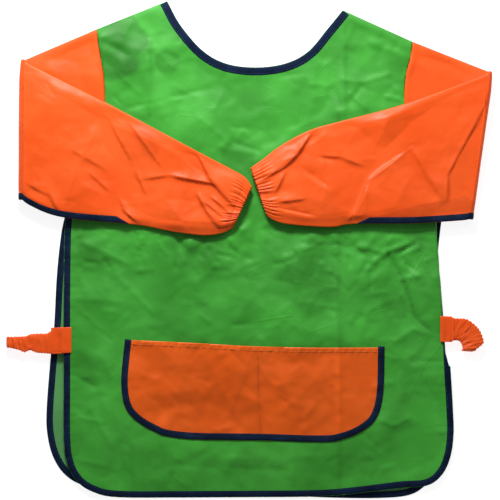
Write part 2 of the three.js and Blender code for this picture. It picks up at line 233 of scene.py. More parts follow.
def nylon(name, lit, shade, roughness=0.42, sheen=0.04, crumple=0.16, lines=0.2):
    look = {"Sheen Weight": sheen, "Sheen Roughness": 0.4, "Specular IOR Level": 0.25}
    material, tree, shader = new_material(name, look)

    # The colour fades at random between the shaded and the lit copy: painted light and shade.
    clouds = object_pattern(tree, "ShaderNodeTexNoise", 14.0, {"Detail": 3.0})
    ramp = colour_ramp(tree, clouds, 0.35, shade, 0.65, lit)
    # A point attribute paints more light and shade: the colour is scaled by one plus its value.
    tone = node(tree, "ShaderNodeAttribute", attribute_name="painted_facet_shading")
    brightness = node(tree, "ShaderNodeMath", {1: 1.0})
    link(tree, tone, "Fac", brightness, 0)
    toned = node(tree, "ShaderNodeVectorMath", operation="SCALE")
    link(tree, ramp, "Color", toned, 0)
    link(tree, brightness, "Value", toned, "Scale")
    link(tree, toned, "Vector", shader, "Base Color")

    gloss = node(tree, "ShaderNodeMapRange", {"To Min": roughness - 0.08, "To Max": roughness + 0.1})
    link(tree, clouds, "Fac", gloss, "Value")
    link(tree, gloss, "Result", shader, "Roughness")

    warp, weft = [
        object_pattern(tree, "ShaderNodeTexWave", WAVE_SCALE / THREAD_PITCH, bands_direction=way)
        for way in "XY"
    ]
    weave = joined(tree, "MULTIPLY", "Fac", warp, weft)
    weave_bump = bump(tree, weave, "Value", 0.0001, 0.12)
    ridges = object_pattern(
        tree, "ShaderNodeTexNoise", 65.0, {"Detail": 2.0}, noise_type="RIDGED_MULTIFRACTAL"
    )
    fine = object_pattern(tree, "ShaderNodeTexNoise", 160.0, {"Detail": 3.0})
    crumples = joined(tree, "ADD", "Fac", ridges, fine)
    crumple_bump = bump(tree, crumples, "Value", 0.0009, crumple, weave_bump)
    long_lines = fold_lines(tree, 15.0, 0.03, 0.0008, lines, crumple_bump)
    short_lines = fold_lines(tree, 37.0, 0.05, 0.0005, lines, long_lines)
    link(tree, short_lines, "Normal", shader, "Normal")
    return material


# Each nylon is given a lit and a shaded colour, which the shader mixes as painted light and shade.
green_nylon = nylon("green_nylon", (0.058, 0.385, 0.04), (0.046, 0.33, 0.03), roughness=0.5, sheen=0.02)
back_nylon = nylon("green_nylon_inside", (0.12, 0.4, 0.12), (0.1, 0.34, 0.1))
orange_nylon = nylon("orange_nylon", (1.0, 0.12, 0.014), (0.93, 0.096, 0.008), crumple=0.12, lines=0.08)
pocket_nylon = nylon("pocket_nylon", (0.88, 0.128, 0.01), (0.8, 0.108, 0.006), crumple=0.1, lines=0.08)
hem_nylon = nylon("pocket_hem_nylon", (1.0, 0.155, 0.014), (0.94, 0.135, 0.01), crumple=0.1, lines=0.05)
print("nylon:", len(bpy.data.materials), "materials so far")


# %% Binding tape, elastic and thread
def ribbed(name, colour, ribs_per_mm, roughness, strength, sheen):
    """A woven narrow fabric: fine ribs, with a little change of tone along it."""
    look = {"Sheen Weight": sheen, "Sheen Roughness": 0.5, "Specular IOR Level": 0.12}
    material, tree, shader = new_material(name, {"Roughness": roughness, **look})
    tone = object_pattern(tree, "ShaderNodeTexNoise", 60.0)
    dark, pale = [c * 0.72 for c in colour], [min(1.0, c * 1.3 + 0.002) for c in colour]
    link(tree, colour_ramp(tree, tone, 0.3, dark, 0.7, pale), "Color", shader, "Base Color")
    scale = WAVE_SCALE * ribs_per_mm / MM
    ribs = object_pattern(
        tree, "ShaderNodeTexWave", scale, {"Distortion": 1.5}, bands_direction="DIAGONAL"
    )
    link(tree, bump(tree, ribs, "Fac", 0.0002, strength), "Normal", shader, "Normal")
    return material


navy_tape = ribbed("navy_tape", (0.0016, 0.0105, 0.036), 1.6, 0.7, 0.3, 0.0)
white_elastic = ribbed("white_elastic", (0.78, 0.76, 0.7), 1.0, 0.8, 0.6, 0.1)
orange_thread = ribbed("orange_thread", (0.85, 0.115, 0.012), 3.0, 0.55, 0.3, 0.1)
rust_thread = ribbed("rust_thread", (0.2, 0.018, 0.004), 3.0, 0.6, 0.3, 0.05)
navy_thread = ribbed("navy_thread", (0.03, 0.06, 0.11), 3.0, 0.55, 0.3, 0.1)
hem_thread = ribbed("hem_thread", (1.0, 0.3, 0.09), 3.0, 0.55, 0.3, 0.1)
green_thread = ribbed("green_thread", (0.06, 0.26, 0.04), 3.0, 0.55, 0.3, 0.1)
print("tape, elastic and five threads")

# %% [markdown]
# ## Wrinkles
#
# Crumpled nylon is made of soft swells, of flat facets that meet in creases, and of short sharp creases.
# Each has its own recipe here, in millimetres. A recipe takes the places of all points at once and gives
# their heights, so the same recipe shapes the cloth, the tape on its edge and the stitches in the tape.


# %% Swells and facets
def smooth_step(t):
    t = np.clip(t, 0.0, 1.0)
    return t * t * (3.0 - 2.0 * t)


def swell(x, y, size, seed):
    """Smooth random heights from -1 to 1 over patches of a given size."""
    table = np.random.default_rng(seed).uniform(-1.0, 1.0, (64, 64))
    u, v = x / size + 512.37, y / size + 512.81
    i, j = np.floor(u).astype(int), np.floor(v).astype(int)
    s, t = smooth_step(u - i), smooth_step(v - j)
    low = table[i % 64, j % 64] * (1 - s) + table[(i + 1) % 64, j % 64] * s
    high = table[i % 64, (j + 1) % 64] * (1 - s) + table[(i + 1) % 64, (j + 1) % 64] * s
    return low * (1 - t) + high * t


def facets(x, y, size, seed):
    """Flat three-cornered facets of random tilt that meet in sharp creases, from -1 to 1."""
    rng = np.random.default_rng(seed)
    table, flip = rng.uniform(-1.0, 1.0, (64, 64)), rng.random((64, 64)) < 0.5
    turn = rng.uniform(0, math.pi)
    bent_x = x + 0.4 * size * swell(x, y, size * 1.5, seed + 1)
    bent_y = y + 0.4 * size * swell(x, y, size * 1.5, seed + 2)
    u = (bent_x * math.cos(turn) - bent_y * math.sin(turn)) / size + 512.37
    v = (bent_x * math.sin(turn) + bent_y * math.cos(turn)) / size + 512.81
    i, j = np.floor(u).astype(int), np.floor(v).astype(int)
    s, t = u - i, v - j
    near, right = table[i % 64, j % 64], table[(i + 1) % 64, j % 64]
    above, far = table[i % 64, (j + 1) % 64], table[(i + 1) % 64, (j + 1) % 64]
    rising = np.where(
        s > t, near + (right - near) * s + (far - right) * t,
        near + (above - near) * t + (far - above) * s,
    )
    falling = np.where(
        s + t < 1, near + (right - near) * s + (above - near) * t,
        far + (above - far) * (1 - s) + (right - far) * (1 - t),
    )
    return np.where(flip[i % 64, j % 64], rising, falling)


# Rim of the painted shade patches, and width of the painted lines along creases.
PATCH_RIM = 0.22
LINE_WIDTH = 1.9


def painted_facet_shading(x, y, seed, depth, patches, lines=()):
    """Painted light and shade: how much paler or darker each facet is made, from -0.5 to 0.3.

    Each patch is (place, radius, depth) of painted shade, and each line is (start, end, depth) of painted
    shade along a crease, paler where its depth is below zero.
    """
    tone = depth * (facets(x, y, 40, seed) + 0.6 * facets(x, y, 17, seed + 3))
    ragged = 0.35 * facets(x, y, 26, seed + 6)
    for (px, py), radius, dark in patches:
        away = np.hypot(x - px, y - py) / radius + ragged
        tone -= dark * smooth_step((1.08 - away) / PATCH_RIM)
    for start, end, dark in lines:
        tone -= crease(x, y, start, end, dark, LINE_WIDTH)
    return np.clip(tone, -0.5, 0.3)


# %% Creases
def beside(x, y, start, end):
    """The length of a line, and how far along it and to its left each point is."""
    (ax, ay), (bx, by) = start, end
    length = math.hypot(bx - ax, by - ay)
    ux, uy = (bx - ax) / length, (by - ay) / length
    return length, (x - ax) * ux + (y - ay) * uy, (y - ay) * ux - (x - ax) * uy


def fade_at_ends(along, length, width, softness):
    reach = softness * width
    return smooth_step((along + width) / reach) * smooth_step((length + width - along) / reach)


def crease(x, y, start, end, height, width):
    """A sharp fold from start to end that flattens out on both sides and towards its ends."""
    length, along, across = beside(x, y, start, end)
    return height * np.exp(-np.abs(across) / width) * fade_at_ends(along, length, width, 2)


def scattered_creases(x, y, low, high, count, seed, lengths=(12.0, 48.0), height=0.5, width=4.0):
    """Short random creases all over a box of cloth."""
    rng = np.random.default_rng(seed)
    total = np.zeros_like(x)
    for _ in range(count):
        start = rng.uniform(low, high)
        angle = rng.uniform(0, 2 * math.pi)
        length = rng.uniform(*lengths)
        end = start + length * np.array([math.cos(angle), math.sin(angle)])
        lift = height * rng.uniform(0.35, 1.0) * rng.choice((-1.0, 1.0))
        near = (np.abs(x - start[0]) < length + 6 * width) & (np.abs(y - start[1]) < length + 6 * width)
        total[near] += crease(x[near], y[near], start, end, lift, width * rng.uniform(0.6, 1.4))
    return total


test_x, test_y = np.meshgrid(np.arange(0, 200, 4.0), np.arange(0, 200, 4.0))
print("facets reach", round(float(facets(test_x, test_y, 30.0, 1).max()), 2))

# %% [markdown]
# ## Edges and cuts
#
# A sheet of cloth starts as its cut outline. The outline is drawn as smooth stretches through a few points,
# and the cut is one face that is sliced into a fine grid with bisect_plane, as one would score it with a
# knife. That keeps the outline exact and leaves square cells that can take wrinkles.


# %% Smooth stretches
def along_path(path):
    """How far along a path each of its points is."""
    return np.concatenate([[0], np.cumsum(np.linalg.norm(np.diff(path, axis=0), axis=1))])


def points_at(path, steps):
    """The points of a path at some distances along it."""
    reach = along_path(path)
    return np.column_stack([np.interp(steps, reach, column) for column in path.T])


def resampled(path, count):
    """The same path in a number of evenly spaced points."""
    return points_at(path, np.linspace(0, along_path(path)[-1], count))


def smooth_path(points, spacing=3.0):
    """A smooth curve through the points, cut at even steps."""
    before, after = 2 * np.array(points[0]) - points[1], 2 * np.array(points[-1]) - points[-2]
    p = np.array([before, *points, after], float)
    fine = []
    for a, b, c, d in zip(p, p[1:], p[2:], p[3:]):
        t = np.linspace(0, 1, 24, endpoint=False)[:, None]
        curve = 2 * b + (c - a) * t + (2 * a - 5 * b + 4 * c - d) * t**2 + (3 * b - a - 3 * c + d) * t**3
        fine.append(0.5 * curve)
    fine = np.vstack([*fine, p[-2:-1]])
    return resampled(fine, max(2, round(along_path(fine)[-1] / spacing) + 1))


def left_normals(path):
    """Unit vectors to the left of a flat path, at each of its points."""
    ahead = np.gradient(path[:, :2], axis=0)
    ahead /= np.linalg.norm(ahead, axis=1)[:, None]
    return np.column_stack([-ahead[:, 1], ahead[:, 0]])


def distance_to(path, x, y):
    """How far each point is from a path, and how far along the path its nearest point is."""
    tree = KDTree(len(path))
    for i, p in enumerate(path):
        tree.insert((p[0], p[1], 0), i)
    tree.balance()
    found = [tree.find((a, b, 0)) for a, b in zip(x, y)]
    reach = along_path(path[:, :2])
    return np.array([f[2] for f in found]), np.array([reach[f[1]] for f in found])


# %% Slice a cut into a grid
def cut_sheet(outline, spacing):
    bm = bmesh.new()
    bm.faces.new([bm.verts.new((x, y, 0)) for x, y in outline])
    low, high = np.min(outline, axis=0), np.max(outline, axis=0)
    for axis, normal in enumerate(((1, 0, 0), (0, 1, 0))):
        for place in np.arange(low[axis] + spacing / 2, high[axis], spacing):
            point = [0, 0, 0]
            point[axis] = place
            geometry = bm.verts[:] + bm.edges[:] + bm.faces[:]
            bmesh.ops.bisect_plane(bm, geom=geometry, plane_co=point, plane_no=normal, dist=1e-5)
    bmesh.ops.remove_doubles(bm, verts=bm.verts, dist=0.02)
    return bm


def places(bm):
    co = np.array([v.co for v in bm.verts])
    return co[:, 0], co[:, 1]


def raise_points(bm, x, y, z):
    for vert, a, b, c in zip(bm.verts, x, y, z):
        vert.co = (a, b, c)


# %% [markdown]
# ## Lofts
#
# Tape, sleeves and straps are longer than they are wide, so they start as a plain grid. Its columns go round
# the section and its rows go along the piece, and each point is then moved to its place. Where the section
# closes on itself, the two edges of the grid are merged.


# %% Loft a grid
def loft(surface, closed=True, capped=True):
    """surface is an array of rows of points: [row, column, xyz]."""
    rows, columns = surface.shape[:2]
    if closed:
        surface = np.concatenate([surface, surface[:, :1]], axis=1)
        columns += 1
    bm = bmesh.new()
    bmesh.ops.create_grid(bm, x_segments=columns - 1, y_segments=rows - 1, size=1.0)
    for vert in bm.verts:
        column = round((vert.co.x + 1) / 2 * (columns - 1))
        row = round((vert.co.y + 1) / 2 * (rows - 1))
        vert.co = surface[row, column]
    bmesh.ops.remove_doubles(bm, verts=bm.verts, dist=1e-4)
    if closed and capped:
        rims = [e for e in bm.edges if e.is_boundary]
        bmesh.ops.holes_fill(bm, edges=rims)
    bmesh.ops.recalc_face_normals(bm, faces=bm.faces)
    return bm


# %% Finish a piece
CLOTH = 0.35


def finish(name, bm, material, body="root", nodes=(), thickness=0.0, tone=None):
    """Turns a bmesh in millimetres into a piece in metres that rides on a body."""
    bmesh.ops.scale(bm, vec=(MM, MM, MM), verts=bm.verts)
    mesh = bpy.data.meshes.new(name)
    bm.to_mesh(mesh)
    bm.free()
    mesh.shade_smooth()
    # The tone function paints light and shade into the colour, kept as a point attribute that the nylon
    # shader reads.
    if tone:
        co = np.array([v.co for v in mesh.vertices]) / MM
        tones = mesh.attributes.new("painted_facet_shading", "FLOAT", "POINT")
        tones.data.foreach_set("value", tone(co[:, 0], co[:, 1]))
    piece = show(name, mesh)
    mesh.materials.append(material)
    if thickness:
        solidify = piece.modifiers.new("thickness", "SOLIDIFY")
        solidify.thickness = thickness * MM
        solidify.offset = 0.0
    if nodes:
        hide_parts(*nodes)
    if body:
        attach(piece, body)
    print(f"{name}: {len(mesh.polygons)} faces")
    return piece


# %% [markdown]
# ## Stitches
#
# A sewing machine leaves a row of short raised threads with small gaps. Each stitch is a small flattened
# ball, stretched along the seam. There are hundreds, so each has only twenty faces.


# %% Stitch rows
STITCH = 2.4
STITCH_GAP = 0.9
THREAD = 0.24


def stitch_rows(name, rows, material, body="root", nodes=()):
    """rows is a list of 3D paths; each gets a row of stitches."""
    bm = bmesh.new()
    for row in rows:
        starts = np.arange(STITCH_GAP, along_path(row)[-1] - STITCH, STITCH + STITCH_GAP)
        for p, q in zip(points_at(row, starts), points_at(row, starts + STITCH)):
            way = Vector(q - p)
            made = bmesh.ops.create_icosphere(bm, subdivisions=1, radius=1.0)
            bmesh.ops.scale(bm, vec=(way.length / 2, THREAD, THREAD * 0.8), verts=made["verts"])
            turn = way.to_track_quat("X", "Z").to_matrix()
            bmesh.ops.rotate(bm, matrix=turn, verts=made["verts"])
            bmesh.ops.translate(bm, vec=Vector((p + q) / 2), verts=made["verts"])
    return finish(name, bm, material, body, nodes)


# %% [markdown]
# ## Where the sleeves lie
#
# The forearms fold back over the chest, so the cloth under them is pressed flat. Their outlines come before
# the front panel for that reason. Both sleeves are described as left ones, and the right one is mirrored.

# %% Sleeve outlines
SLEEVES = {
    "left": {
        "sign": 1.0,
        "crease": [(-284, 228), (-285, 59)],
        "top": [(-284, 228), (-183, 177.5), (-71, 118), (-28, 95.5), (-12, 86), (-3.5, 74)],
        "low": [(-285, 59), (-235, 38.5), (-143, 29), (-100, 21), (-63, 16.5), (-40, 19), (-26.5, 25.5)],
        "slit": 0.5,
    },
    "right": {
        "sign": -1.0,
        "crease": [(-288, 213), (-263, 35)],
        "top": [(-288, 213), (-181, 174.5), (-102, 153), (-66, 142.5), (-31, 124), (-10, 108), (5.5, 97)],
        "low": [
            (-263, 35), (-190, 30.5), (-118, 30), (-96, 26.5), (-70, 27), (-38, 30), (-24, 34), (-14, 40),
        ],
        "slit": 0.54,
    },
}
for shape in SLEEVES.values():
    flip = [shape["sign"], 1.0]
    shape["outline"] = np.vstack([smooth_path(shape["top"]), smooth_path(shape["low"])[::-1]]) * flip


def inside(outline, x, y):
    """Which points lie inside a closed outline."""
    hits = np.zeros(x.shape, int)
    for (ax, ay), (bx, by) in zip(outline, np.roll(outline, -1, axis=0)):
        spans = (ay > y) != (by > y)
        hits[spans] += x[spans] < ax + (y[spans] - ay) * (bx - ax) / (by - ay)
    return hits % 2 == 1


def pressed(x, y):
    """1 under a forearm, 0 well away from it."""
    share = np.zeros_like(x)
    for shape in SLEEVES.values():
        far = distance_to(shape["outline"], x, y)[0]
        far = np.where(inside(shape["outline"], x, y), 0.0, far)
        share = np.maximum(share, 1 - smooth_step(far / 12.0))
    return share


print("forearm outlines:", {n: len(s["outline"]) for n, s in SLEEVES.items()})

# %% [markdown]
# ## The front panel
#
# The front is cut with a deep round neck, sloping shoulders, armholes, and sides that widen a little to
# rounded corners. It has lain folded in a packet, so it keeps two long upright creases and a few level
# ones. On the right its edge has rolled under, and further down the tape shows again.

# %% Front outline
front_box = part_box("front_panel")
back_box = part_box("back_panel")
front_level = front_box[0][2] / MM - 0.2
back_level = back_box[1][2] / MM - 0.5
print("front cloth at", round(front_level, 2), "back cloth at", round(back_level, 2))

NECK_LEFT, NECK_RIGHT = (-106.0, 299.0), (106.0, 288.0)
TIP_LEFT, TIP_RIGHT = (-191.0, 265.0), (190.0, 250.0)
UNDERARM_LEFT, UNDERARM_RIGHT = (-227.0, 50.0), (227.0, 46.0)

neck_path = smooth_path(
    [NECK_RIGHT, (88, 266), (64, 238), (36, 223.5), (0, 219), (-36, 224), (-64, 240), (-90, 270), NECK_LEFT]
)
armhole_left = smooth_path([TIP_LEFT, (-186, 230), (-182, 205), (-182, 165), (-192, 105), UNDERARM_LEFT])
armhole_right = smooth_path([UNDERARM_RIGHT, (192, 105), (181, 165), (182, 207), (188, 232), TIP_RIGHT])
front_edge = smooth_path(
    [
        UNDERARM_LEFT, (-230, 20), (-231, -60), (-231, -150), (-231, -230), (-226, -262), (-214, -282),
        (-195, -294), (-168, -300), (-100, -300.5), (0, -300), (80, -299), (127, -295), (175, -289),
        (208, -286), (226, -273), (236, -252), (240, -224), (239, -190), (236, -140), (234, -79),
        (232, -10), UNDERARM_RIGHT,
    ]
)


def panel_outline(edge, neck):
    return np.vstack([edge[:-1], armhole_right[:-1], TIP_RIGHT, neck[:-1], NECK_LEFT, armhole_left[:-1]])


front_outline = panel_outline(front_edge, neck_path)
print("front outline:", len(front_outline), "points,", round(float(np.ptp(front_outline[:, 1]))), "mm long")

# %% Heights of the front
SHOULDER_ROUND = 9.0
left_shoulder = smooth_path([TIP_LEFT, NECK_LEFT])
right_shoulder = smooth_path([NECK_RIGHT, TIP_RIGHT])
shoulder_height = 0.5 * (front_level + back_level) + 0.3

pressed_creases = [
    ((100, 168), (101, -292), 1.0, 2.5), ((-127, 252), (-127, 160), 0.9, 2.5),
    ((107, 287), (106, 158), 0.8, 2.5), ((-147, -232), (-147, -292), 0.9, 3.0),
    ((-156, 169), (-113, 179), -1.0, 3.0), ((-113, 179), (-39, 199), -1.0, 3.0),
    ((-30, 147), (8, 143), -0.8, 3.0), ((64, 199), (92, 196), 0.8, 3.5),
    ((92, 196), (106, 169), -1.0, 3.5), ((114, 189), (136, 167), 1.2, 3.5),
    ((104, 204), (131, 201), 1.0, 3.5), ((131, 201), (163, 211), 1.2, 4.0),
    ((111, 174), (131, 199), -1.2, 3.5), ((156, 184), (178, 179), 1.3, 3.0),
    ((168, 196), (178, 186), 1.3, 3.0), ((-42, 122), (-30, 130), 1.0, 4.0),
    ((-30, 130), (8, 117), -1.3, 5.0), ((-10, 104), (30, 112), 0.9, 4.0), ((54, 7), (97, 5), -1.0, 2.5),
    ((96, 23), (96, -7), 1.0, 3.0), ((97, 5), (122, 4), -1.2, 3.0), ((122, 4), (159, -5), 1.4, 3.5),
    ((159, -5), (141, -17), 1.2, 3.5), ((193, 8), (171, -9), -1.8, 3.0), ((159, -3), (193, 8), 1.8, 3.0),
    ((171, -9), (199, 1), 1.3, 3.0), ((198, 16), (198, 0), 1.0, 3.0), ((161, -6), (175, -29), -1.5, 2.6),
    ((175, -29), (185, -55), -1.8, 2.6), ((185, -55), (195, -86), -1.8, 2.6),
    ((195, -86), (212, -99), -1.5, 3.0), ((175, -37), (203, -31), 1.3, 4.0),
    ((215, -35), (223, -31), 0.9, 3.0), ((167, -114), (191, -96), 1.2, 4.0),
    ((191, -96), (211, -104), 1.2, 4.0), ((187, -136), (229, -135), -0.9, 3.0),
    ((151, -206), (167, -214), 1.1, 3.5), ((167, -214), (187, -204), 1.1, 3.5),
    ((205, -222), (231, -221), 0.9, 2.5), ((153, -266), (169, -262), 0.9, 3.5),
    ((85, -48), (98, -47), 0.8, 3.0), ((79, -54), (95, -78), -0.9, 4.0),
    ((131, -48), (155, -25), 0.9, 5.0), ((135, -76), (167, -60), 0.8, 5.0),
    ((-225, -60), (-160, -64), 0.6, 4.0), ((-225, -150), (-190, -168), -0.8, 4.0),
    ((-90, -262), (40, -268), -0.6, 5.0), ((20, 20), (60, -60), 0.6, 6.0),
    ((-170, -30), (-120, -80), 0.8, 5.0), ((-210, 10), (-150, -20), 0.9, 5.0),
    ((-200, -190), (-172, -240), 0.8, 5.0), ((-30, -250), (-10, -292), 0.6, 4.0),
    ((-215, -255), (-180, -262), 0.7, 4.0), ((-90, 10), (-60, -30), -0.8, 5.0),
    ((-186, 252), (-150, 232), -1.6, 9.0), ((-152, 240), (-127, 218), 1.4, 8.0),
    ((-127, 240), (-116, 212), -1.0, 6.0), ((-170, 215), (-140, 188), 1.0, 8.0),
    ((120, 268), (150, 226), -1.2, 9.0), ((140, 250), (182, 232), 1.1, 8.0),
    ((-150, 222), (-128, 240), 1.0, 6.0), ((-118, 236), (-92, 214), 1.2, 10.0),
    ((-45, 122), (5, 114), 1.4, 11.0), ((-70, 160), (-30, 128), 1.0, 8.0),
    ((-20, 175), (40, 168), -0.8, 9.0), ((40, 140), (80, 160), 0.9, 8.0),
]
STRAP_TABS = [(-232.0, -111.0), (230.0, -97.0)]
EDGE_DROP = 1.6
CREASE_GAIN = 1.7
LOWEST, HIGHEST = -3.2, 4.6
PRESSED_DOWN = 3.1


def edge_ease(distance, level, rim, reach):
    """Cloth at its level in the middle that comes down to its rim height at an edge."""
    share = np.clip(distance / reach, 0, 1)
    return rim + (level - rim) * np.sqrt(1 - (1 - share) ** 2)


def cloth_relief(x, y, seed):
    """What crumpled nylon looks like anywhere on the body."""
    relief = 1.5 * swell(x, y, 120, seed) + 0.6 * swell(x, y, 50, seed + 3)
    relief += 3.4 * facets(x, y, 64, seed + 5) + 1.9 * facets(x, y, 28, seed + 9)
    relief += 0.5 * facets(x, y, 11, seed + 13)
    return relief


def near_shoulder(x, y):
    return np.minimum(distance_to(left_shoulder, x, y)[0], distance_to(right_shoulder, x, y)[0])


def front_height(x, y):
    relief = cloth_relief(x, y, 11)
    relief += scattered_creases(x, y, (-235, -295), (240, 290), 260, 21, (8.0, 34.0), height=1.3, width=2.4)
    relief += scattered_creases(x, y, (-220, -30), (225, 40), 110, 23, (6.0, 26.0), height=2.0, width=2.6)
    for start, end, height, width in pressed_creases:
        relief += crease(x, y, start, end, CREASE_GAIN * height, width)
    edge_far, edge_along = distance_to(front_edge, x, y)
    shoulder = near_shoulder(x, y)
    ease = edge_ease(edge_far, front_level, front_level - EDGE_DROP, 40.0)
    ease = np.minimum(ease, edge_ease(shoulder, front_level, shoulder_height, SHOULDER_ROUND))
    for tab_x, tab_y in STRAP_TABS:
        relief *= 1 - 0.85 * np.exp(-((x - tab_x) ** 2 + (y - tab_y) ** 2) / 22.0**2)
    relief *= smooth_step(shoulder / 14) * (0.3 + 0.7 * smooth_step(edge_far / 26))
    pucker = np.sin(2 * math.pi * edge_along / 9.0 + 3 * swell(edge_along, 0 * x, 30, 5))
    relief += 0.45 * pucker * np.exp(-edge_far / 9)
    neck_far, neck_along = distance_to(neck_path, x, y)
    relief *= 0.35 + 0.65 * smooth_step(neck_far / 22)
    relief += 0.3 * np.sin(2 * math.pi * neck_along / 8.0) * np.exp(-neck_far / 10.0)
    seam = np.minimum(distance_to(armhole_left, x, y)[0], distance_to(armhole_right, x, y)[0])
    relief -= 1.0 * np.exp(-seam / 2.5) * smooth_step(shoulder / 10)
    covered = pressed(x, y)
    relief *= 1 - 0.65 * covered
    ceiling = front_level + HIGHEST - PRESSED_DOWN * covered
    return np.minimum(ease + np.clip(relief, LOWEST, HIGHEST), ceiling)


# %% Roll the right edge under
ROLL = 1.5
roll_line = np.array(
    [(-152, 245), (-140, 232.5), (-125, 228.5), (-79, 225.5), (-2, 219.5), (30, 218), (60, 219)], float
)


def rolled(points):
    """Turns what lies past the roll line down and back under the panel."""
    x, y, z = points[..., 0], points[..., 1], points[..., 2]
    line = np.interp(y, roll_line[:, 0], roll_line[:, 1])
    past = np.where((y > roll_line[0, 0]) & (y < 60), x - line, -1.0)
    angle = np.clip(past / ROLL, 0, math.pi)
    beyond = np.clip(past - math.pi * ROLL, 0, None)
    new_x = np.where(past > 0, line + ROLL * np.sin(angle) - beyond, x)
    new_z = np.where(past > 0, z - ROLL * (1 - np.cos(angle)), z)
    return np.stack([new_x, y, new_z], axis=-1)


# %% Make the front panel
GRID = 2.5
front_bm = cut_sheet(front_outline, GRID)
x, y = places(front_bm)
shaped = rolled(np.column_stack([x, y, front_height(x, y)]))
raise_points(front_bm, shaped[:, 0], shaped[:, 1], shaped[:, 2])
# Painted shade: patches where the green is made darker, standing in for the shade of its folds.
painted_shade_green = [
    ((-168, 246), 40, 0.32), ((-108, 228), 15, 0.2), ((-22, 108), 26, 0.16), ((152, 210), 26, 0.16),
    ((99, 190), 15, 0.14), ((66, -42), 40, 0.16), ((-70, 10), 34, 0.1), ((168, -70), 22, 0.12),
    ((196, 22), 22, 0.14), ((-198, 0), 22, 0.1),
]
# Painted shade along creases: lines where the green is made darker, as shade in its folds.
green_painted_crease_shade = [
    ((161, -6), (175, -29), 0.3), ((175, -29), (185, -55), 0.36), ((185, -55), (195, -86), 0.36),
    ((195, -86), (212, -99), 0.3), ((100, 168), (101, -292), 0.12), ((-127, 252), (-127, 160), 0.12),
    ((64, 5), (97, 5), 0.3), ((97, 5), (122, 4), 0.3), ((159, -5), (193, 8), 0.3),
    ((193, 8), (199, 18), 0.3), ((187, -136), (229, -135), 0.15), ((-147, -232), (-147, -292), 0.12),
]
front = finish(
    "front_cloth", front_bm, green_nylon, nodes=["front_panel"], thickness=CLOTH,
    tone=lambda x, y: painted_facet_shading(x, y, 201, 0.16, painted_shade_green, green_painted_crease_shade),
)

# %% [markdown]
# ## The back panel
#
# The back has the same cut. It lies a little askew, so its left edge shows outside the front one, with the
# paler inside of the cloth between the two tapes, and its hem shows at the lower right.

# %% Back outline
back_neck = neck_path + np.array([0.0, -1.0])
back_edge = smooth_path(
    [
        UNDERARM_LEFT, (-234, 20), (-239.5, -30), (-243, -94), (-247, -129), (-252, -194), (-251, -225),
        (-244, -252), (-230, -273), (-208, -286), (-170, -292), (-100, -294), (0, -297), (90, -301),
        (150, -301.5), (186, -298), (206, -286), (216, -266), (220, -240), (219, -180), (218, -90),
        (221, -10), UNDERARM_RIGHT,
    ]
)
back_outline = panel_outline(back_edge, back_neck)


def back_height(x, y):
    relief = 0.08 * cloth_relief(x, y, 61)
    relief += scattered_creases(x, y, (-250, -295), (225, 290), 90, 63, height=0.25, width=3.5)
    shoulder = near_shoulder(x, y)
    ease = edge_ease(shoulder, back_level - 0.3, shoulder_height - 0.6, SHOULDER_ROUND)
    edge_far, edge_along = distance_to(back_edge, x, y)
    pucker = 0.15 * np.sin(2 * math.pi * edge_along / 10.0) * np.exp(-edge_far / 9.0)
    return np.maximum(ease + relief * smooth_step(shoulder / 14) + pucker, 0.35)


back_bm = cut_sheet(back_outline, GRID * 1.8)
x, y = places(back_bm)
raise_points(back_bm, x, y, back_height(x, y))
back = finish("back_cloth", back_bm, back_nylon, nodes=["back_panel"], thickness=CLOTH)

# %% [markdown]
# ## Binding tape
#
# Bias tape is folded in half over the cut edge and sewn through near its inner side. Its section is an open
# loop: rounded over the edge, slightly domed, and pulled in where the stitches run. The tape is lofted along
# the edge of its panel and takes its height from the same recipe as the cloth.

# %% Tape section
TAPE_HALF = 0.8
TAPE_THICK = 0.3


def tape_section(width):
    """Counter-clockwise from the inner end of the upper fold, over the edge, to the lower fold and back."""
    outer = [
        (width, 0.42), (0.93 * width, 0.66), (0.8 * width, 0.5), (0.6 * width, 0.82),
        (0.35 * width, 0.92), (0.15 * width, 0.86), (0.05 * width, 0.55), (0.0, 0.0),
    ]
    over = [(a, b * TAPE_HALF / 0.9) for a, b in outer]
    under = [(a, -b) for a, b in reversed(over[:-1])]
    inner = [(a + TAPE_THICK * 0.5 * (1 - a / width), b * 0.5) for a, b in over]
    return over + under + [(a, -b) for a, b in inner] + inner[-2::-1]


def on_cloth(path, height, section):
    """Carries a section of (inward, up) pairs along a flat path, on cloth of a known height."""
    section = np.array(section)
    flat = path[:, None] + left_normals(path)[:, None] * section[None, :, :1]
    level = height(flat[..., 0].ravel(), flat[..., 1].ravel()).reshape(flat.shape[:2])
    return np.dstack([flat, level + section[None, :, 1]])


def make_tape(name, path, height, width, nodes, warp=None):
    surface = on_cloth(path, height, tape_section(width))
    sewn = on_cloth(path, height, [(0.8 * width, 0.62)])
    if warp:
        surface, sewn = warp(surface), warp(sewn)
    finish(name, loft(surface), navy_tape, nodes=nodes)
    stitch_rows(f"{name}_stitches", [sewn[:, 0]], navy_thread)


TAPE_WIDTH = 8.0
NECK_TAPE_WIDTH = 9.5
make_tape("front_edge_tape", front_edge, front_height, TAPE_WIDTH, ["front_edge_binding"], warp=rolled)
make_tape("front_neck_tape", neck_path, front_height, NECK_TAPE_WIDTH, ["front_neck_binding"])
make_tape("back_edge_tape", back_edge, back_height, TAPE_WIDTH, ["back_edge_binding"])
make_tape("back_neck_tape", back_neck, back_height, NECK_TAPE_WIDTH, ["back_neck_binding"])

# %% [markdown]
# ## The pocket
#
# The pocket is one layer of thin orange nylon over the green, so it looks darker than the sleeves. Its top
# edge is a folded hem, where two layers look brighter. A seam down the middle parts it into two
# compartments, and each bellies out a little.

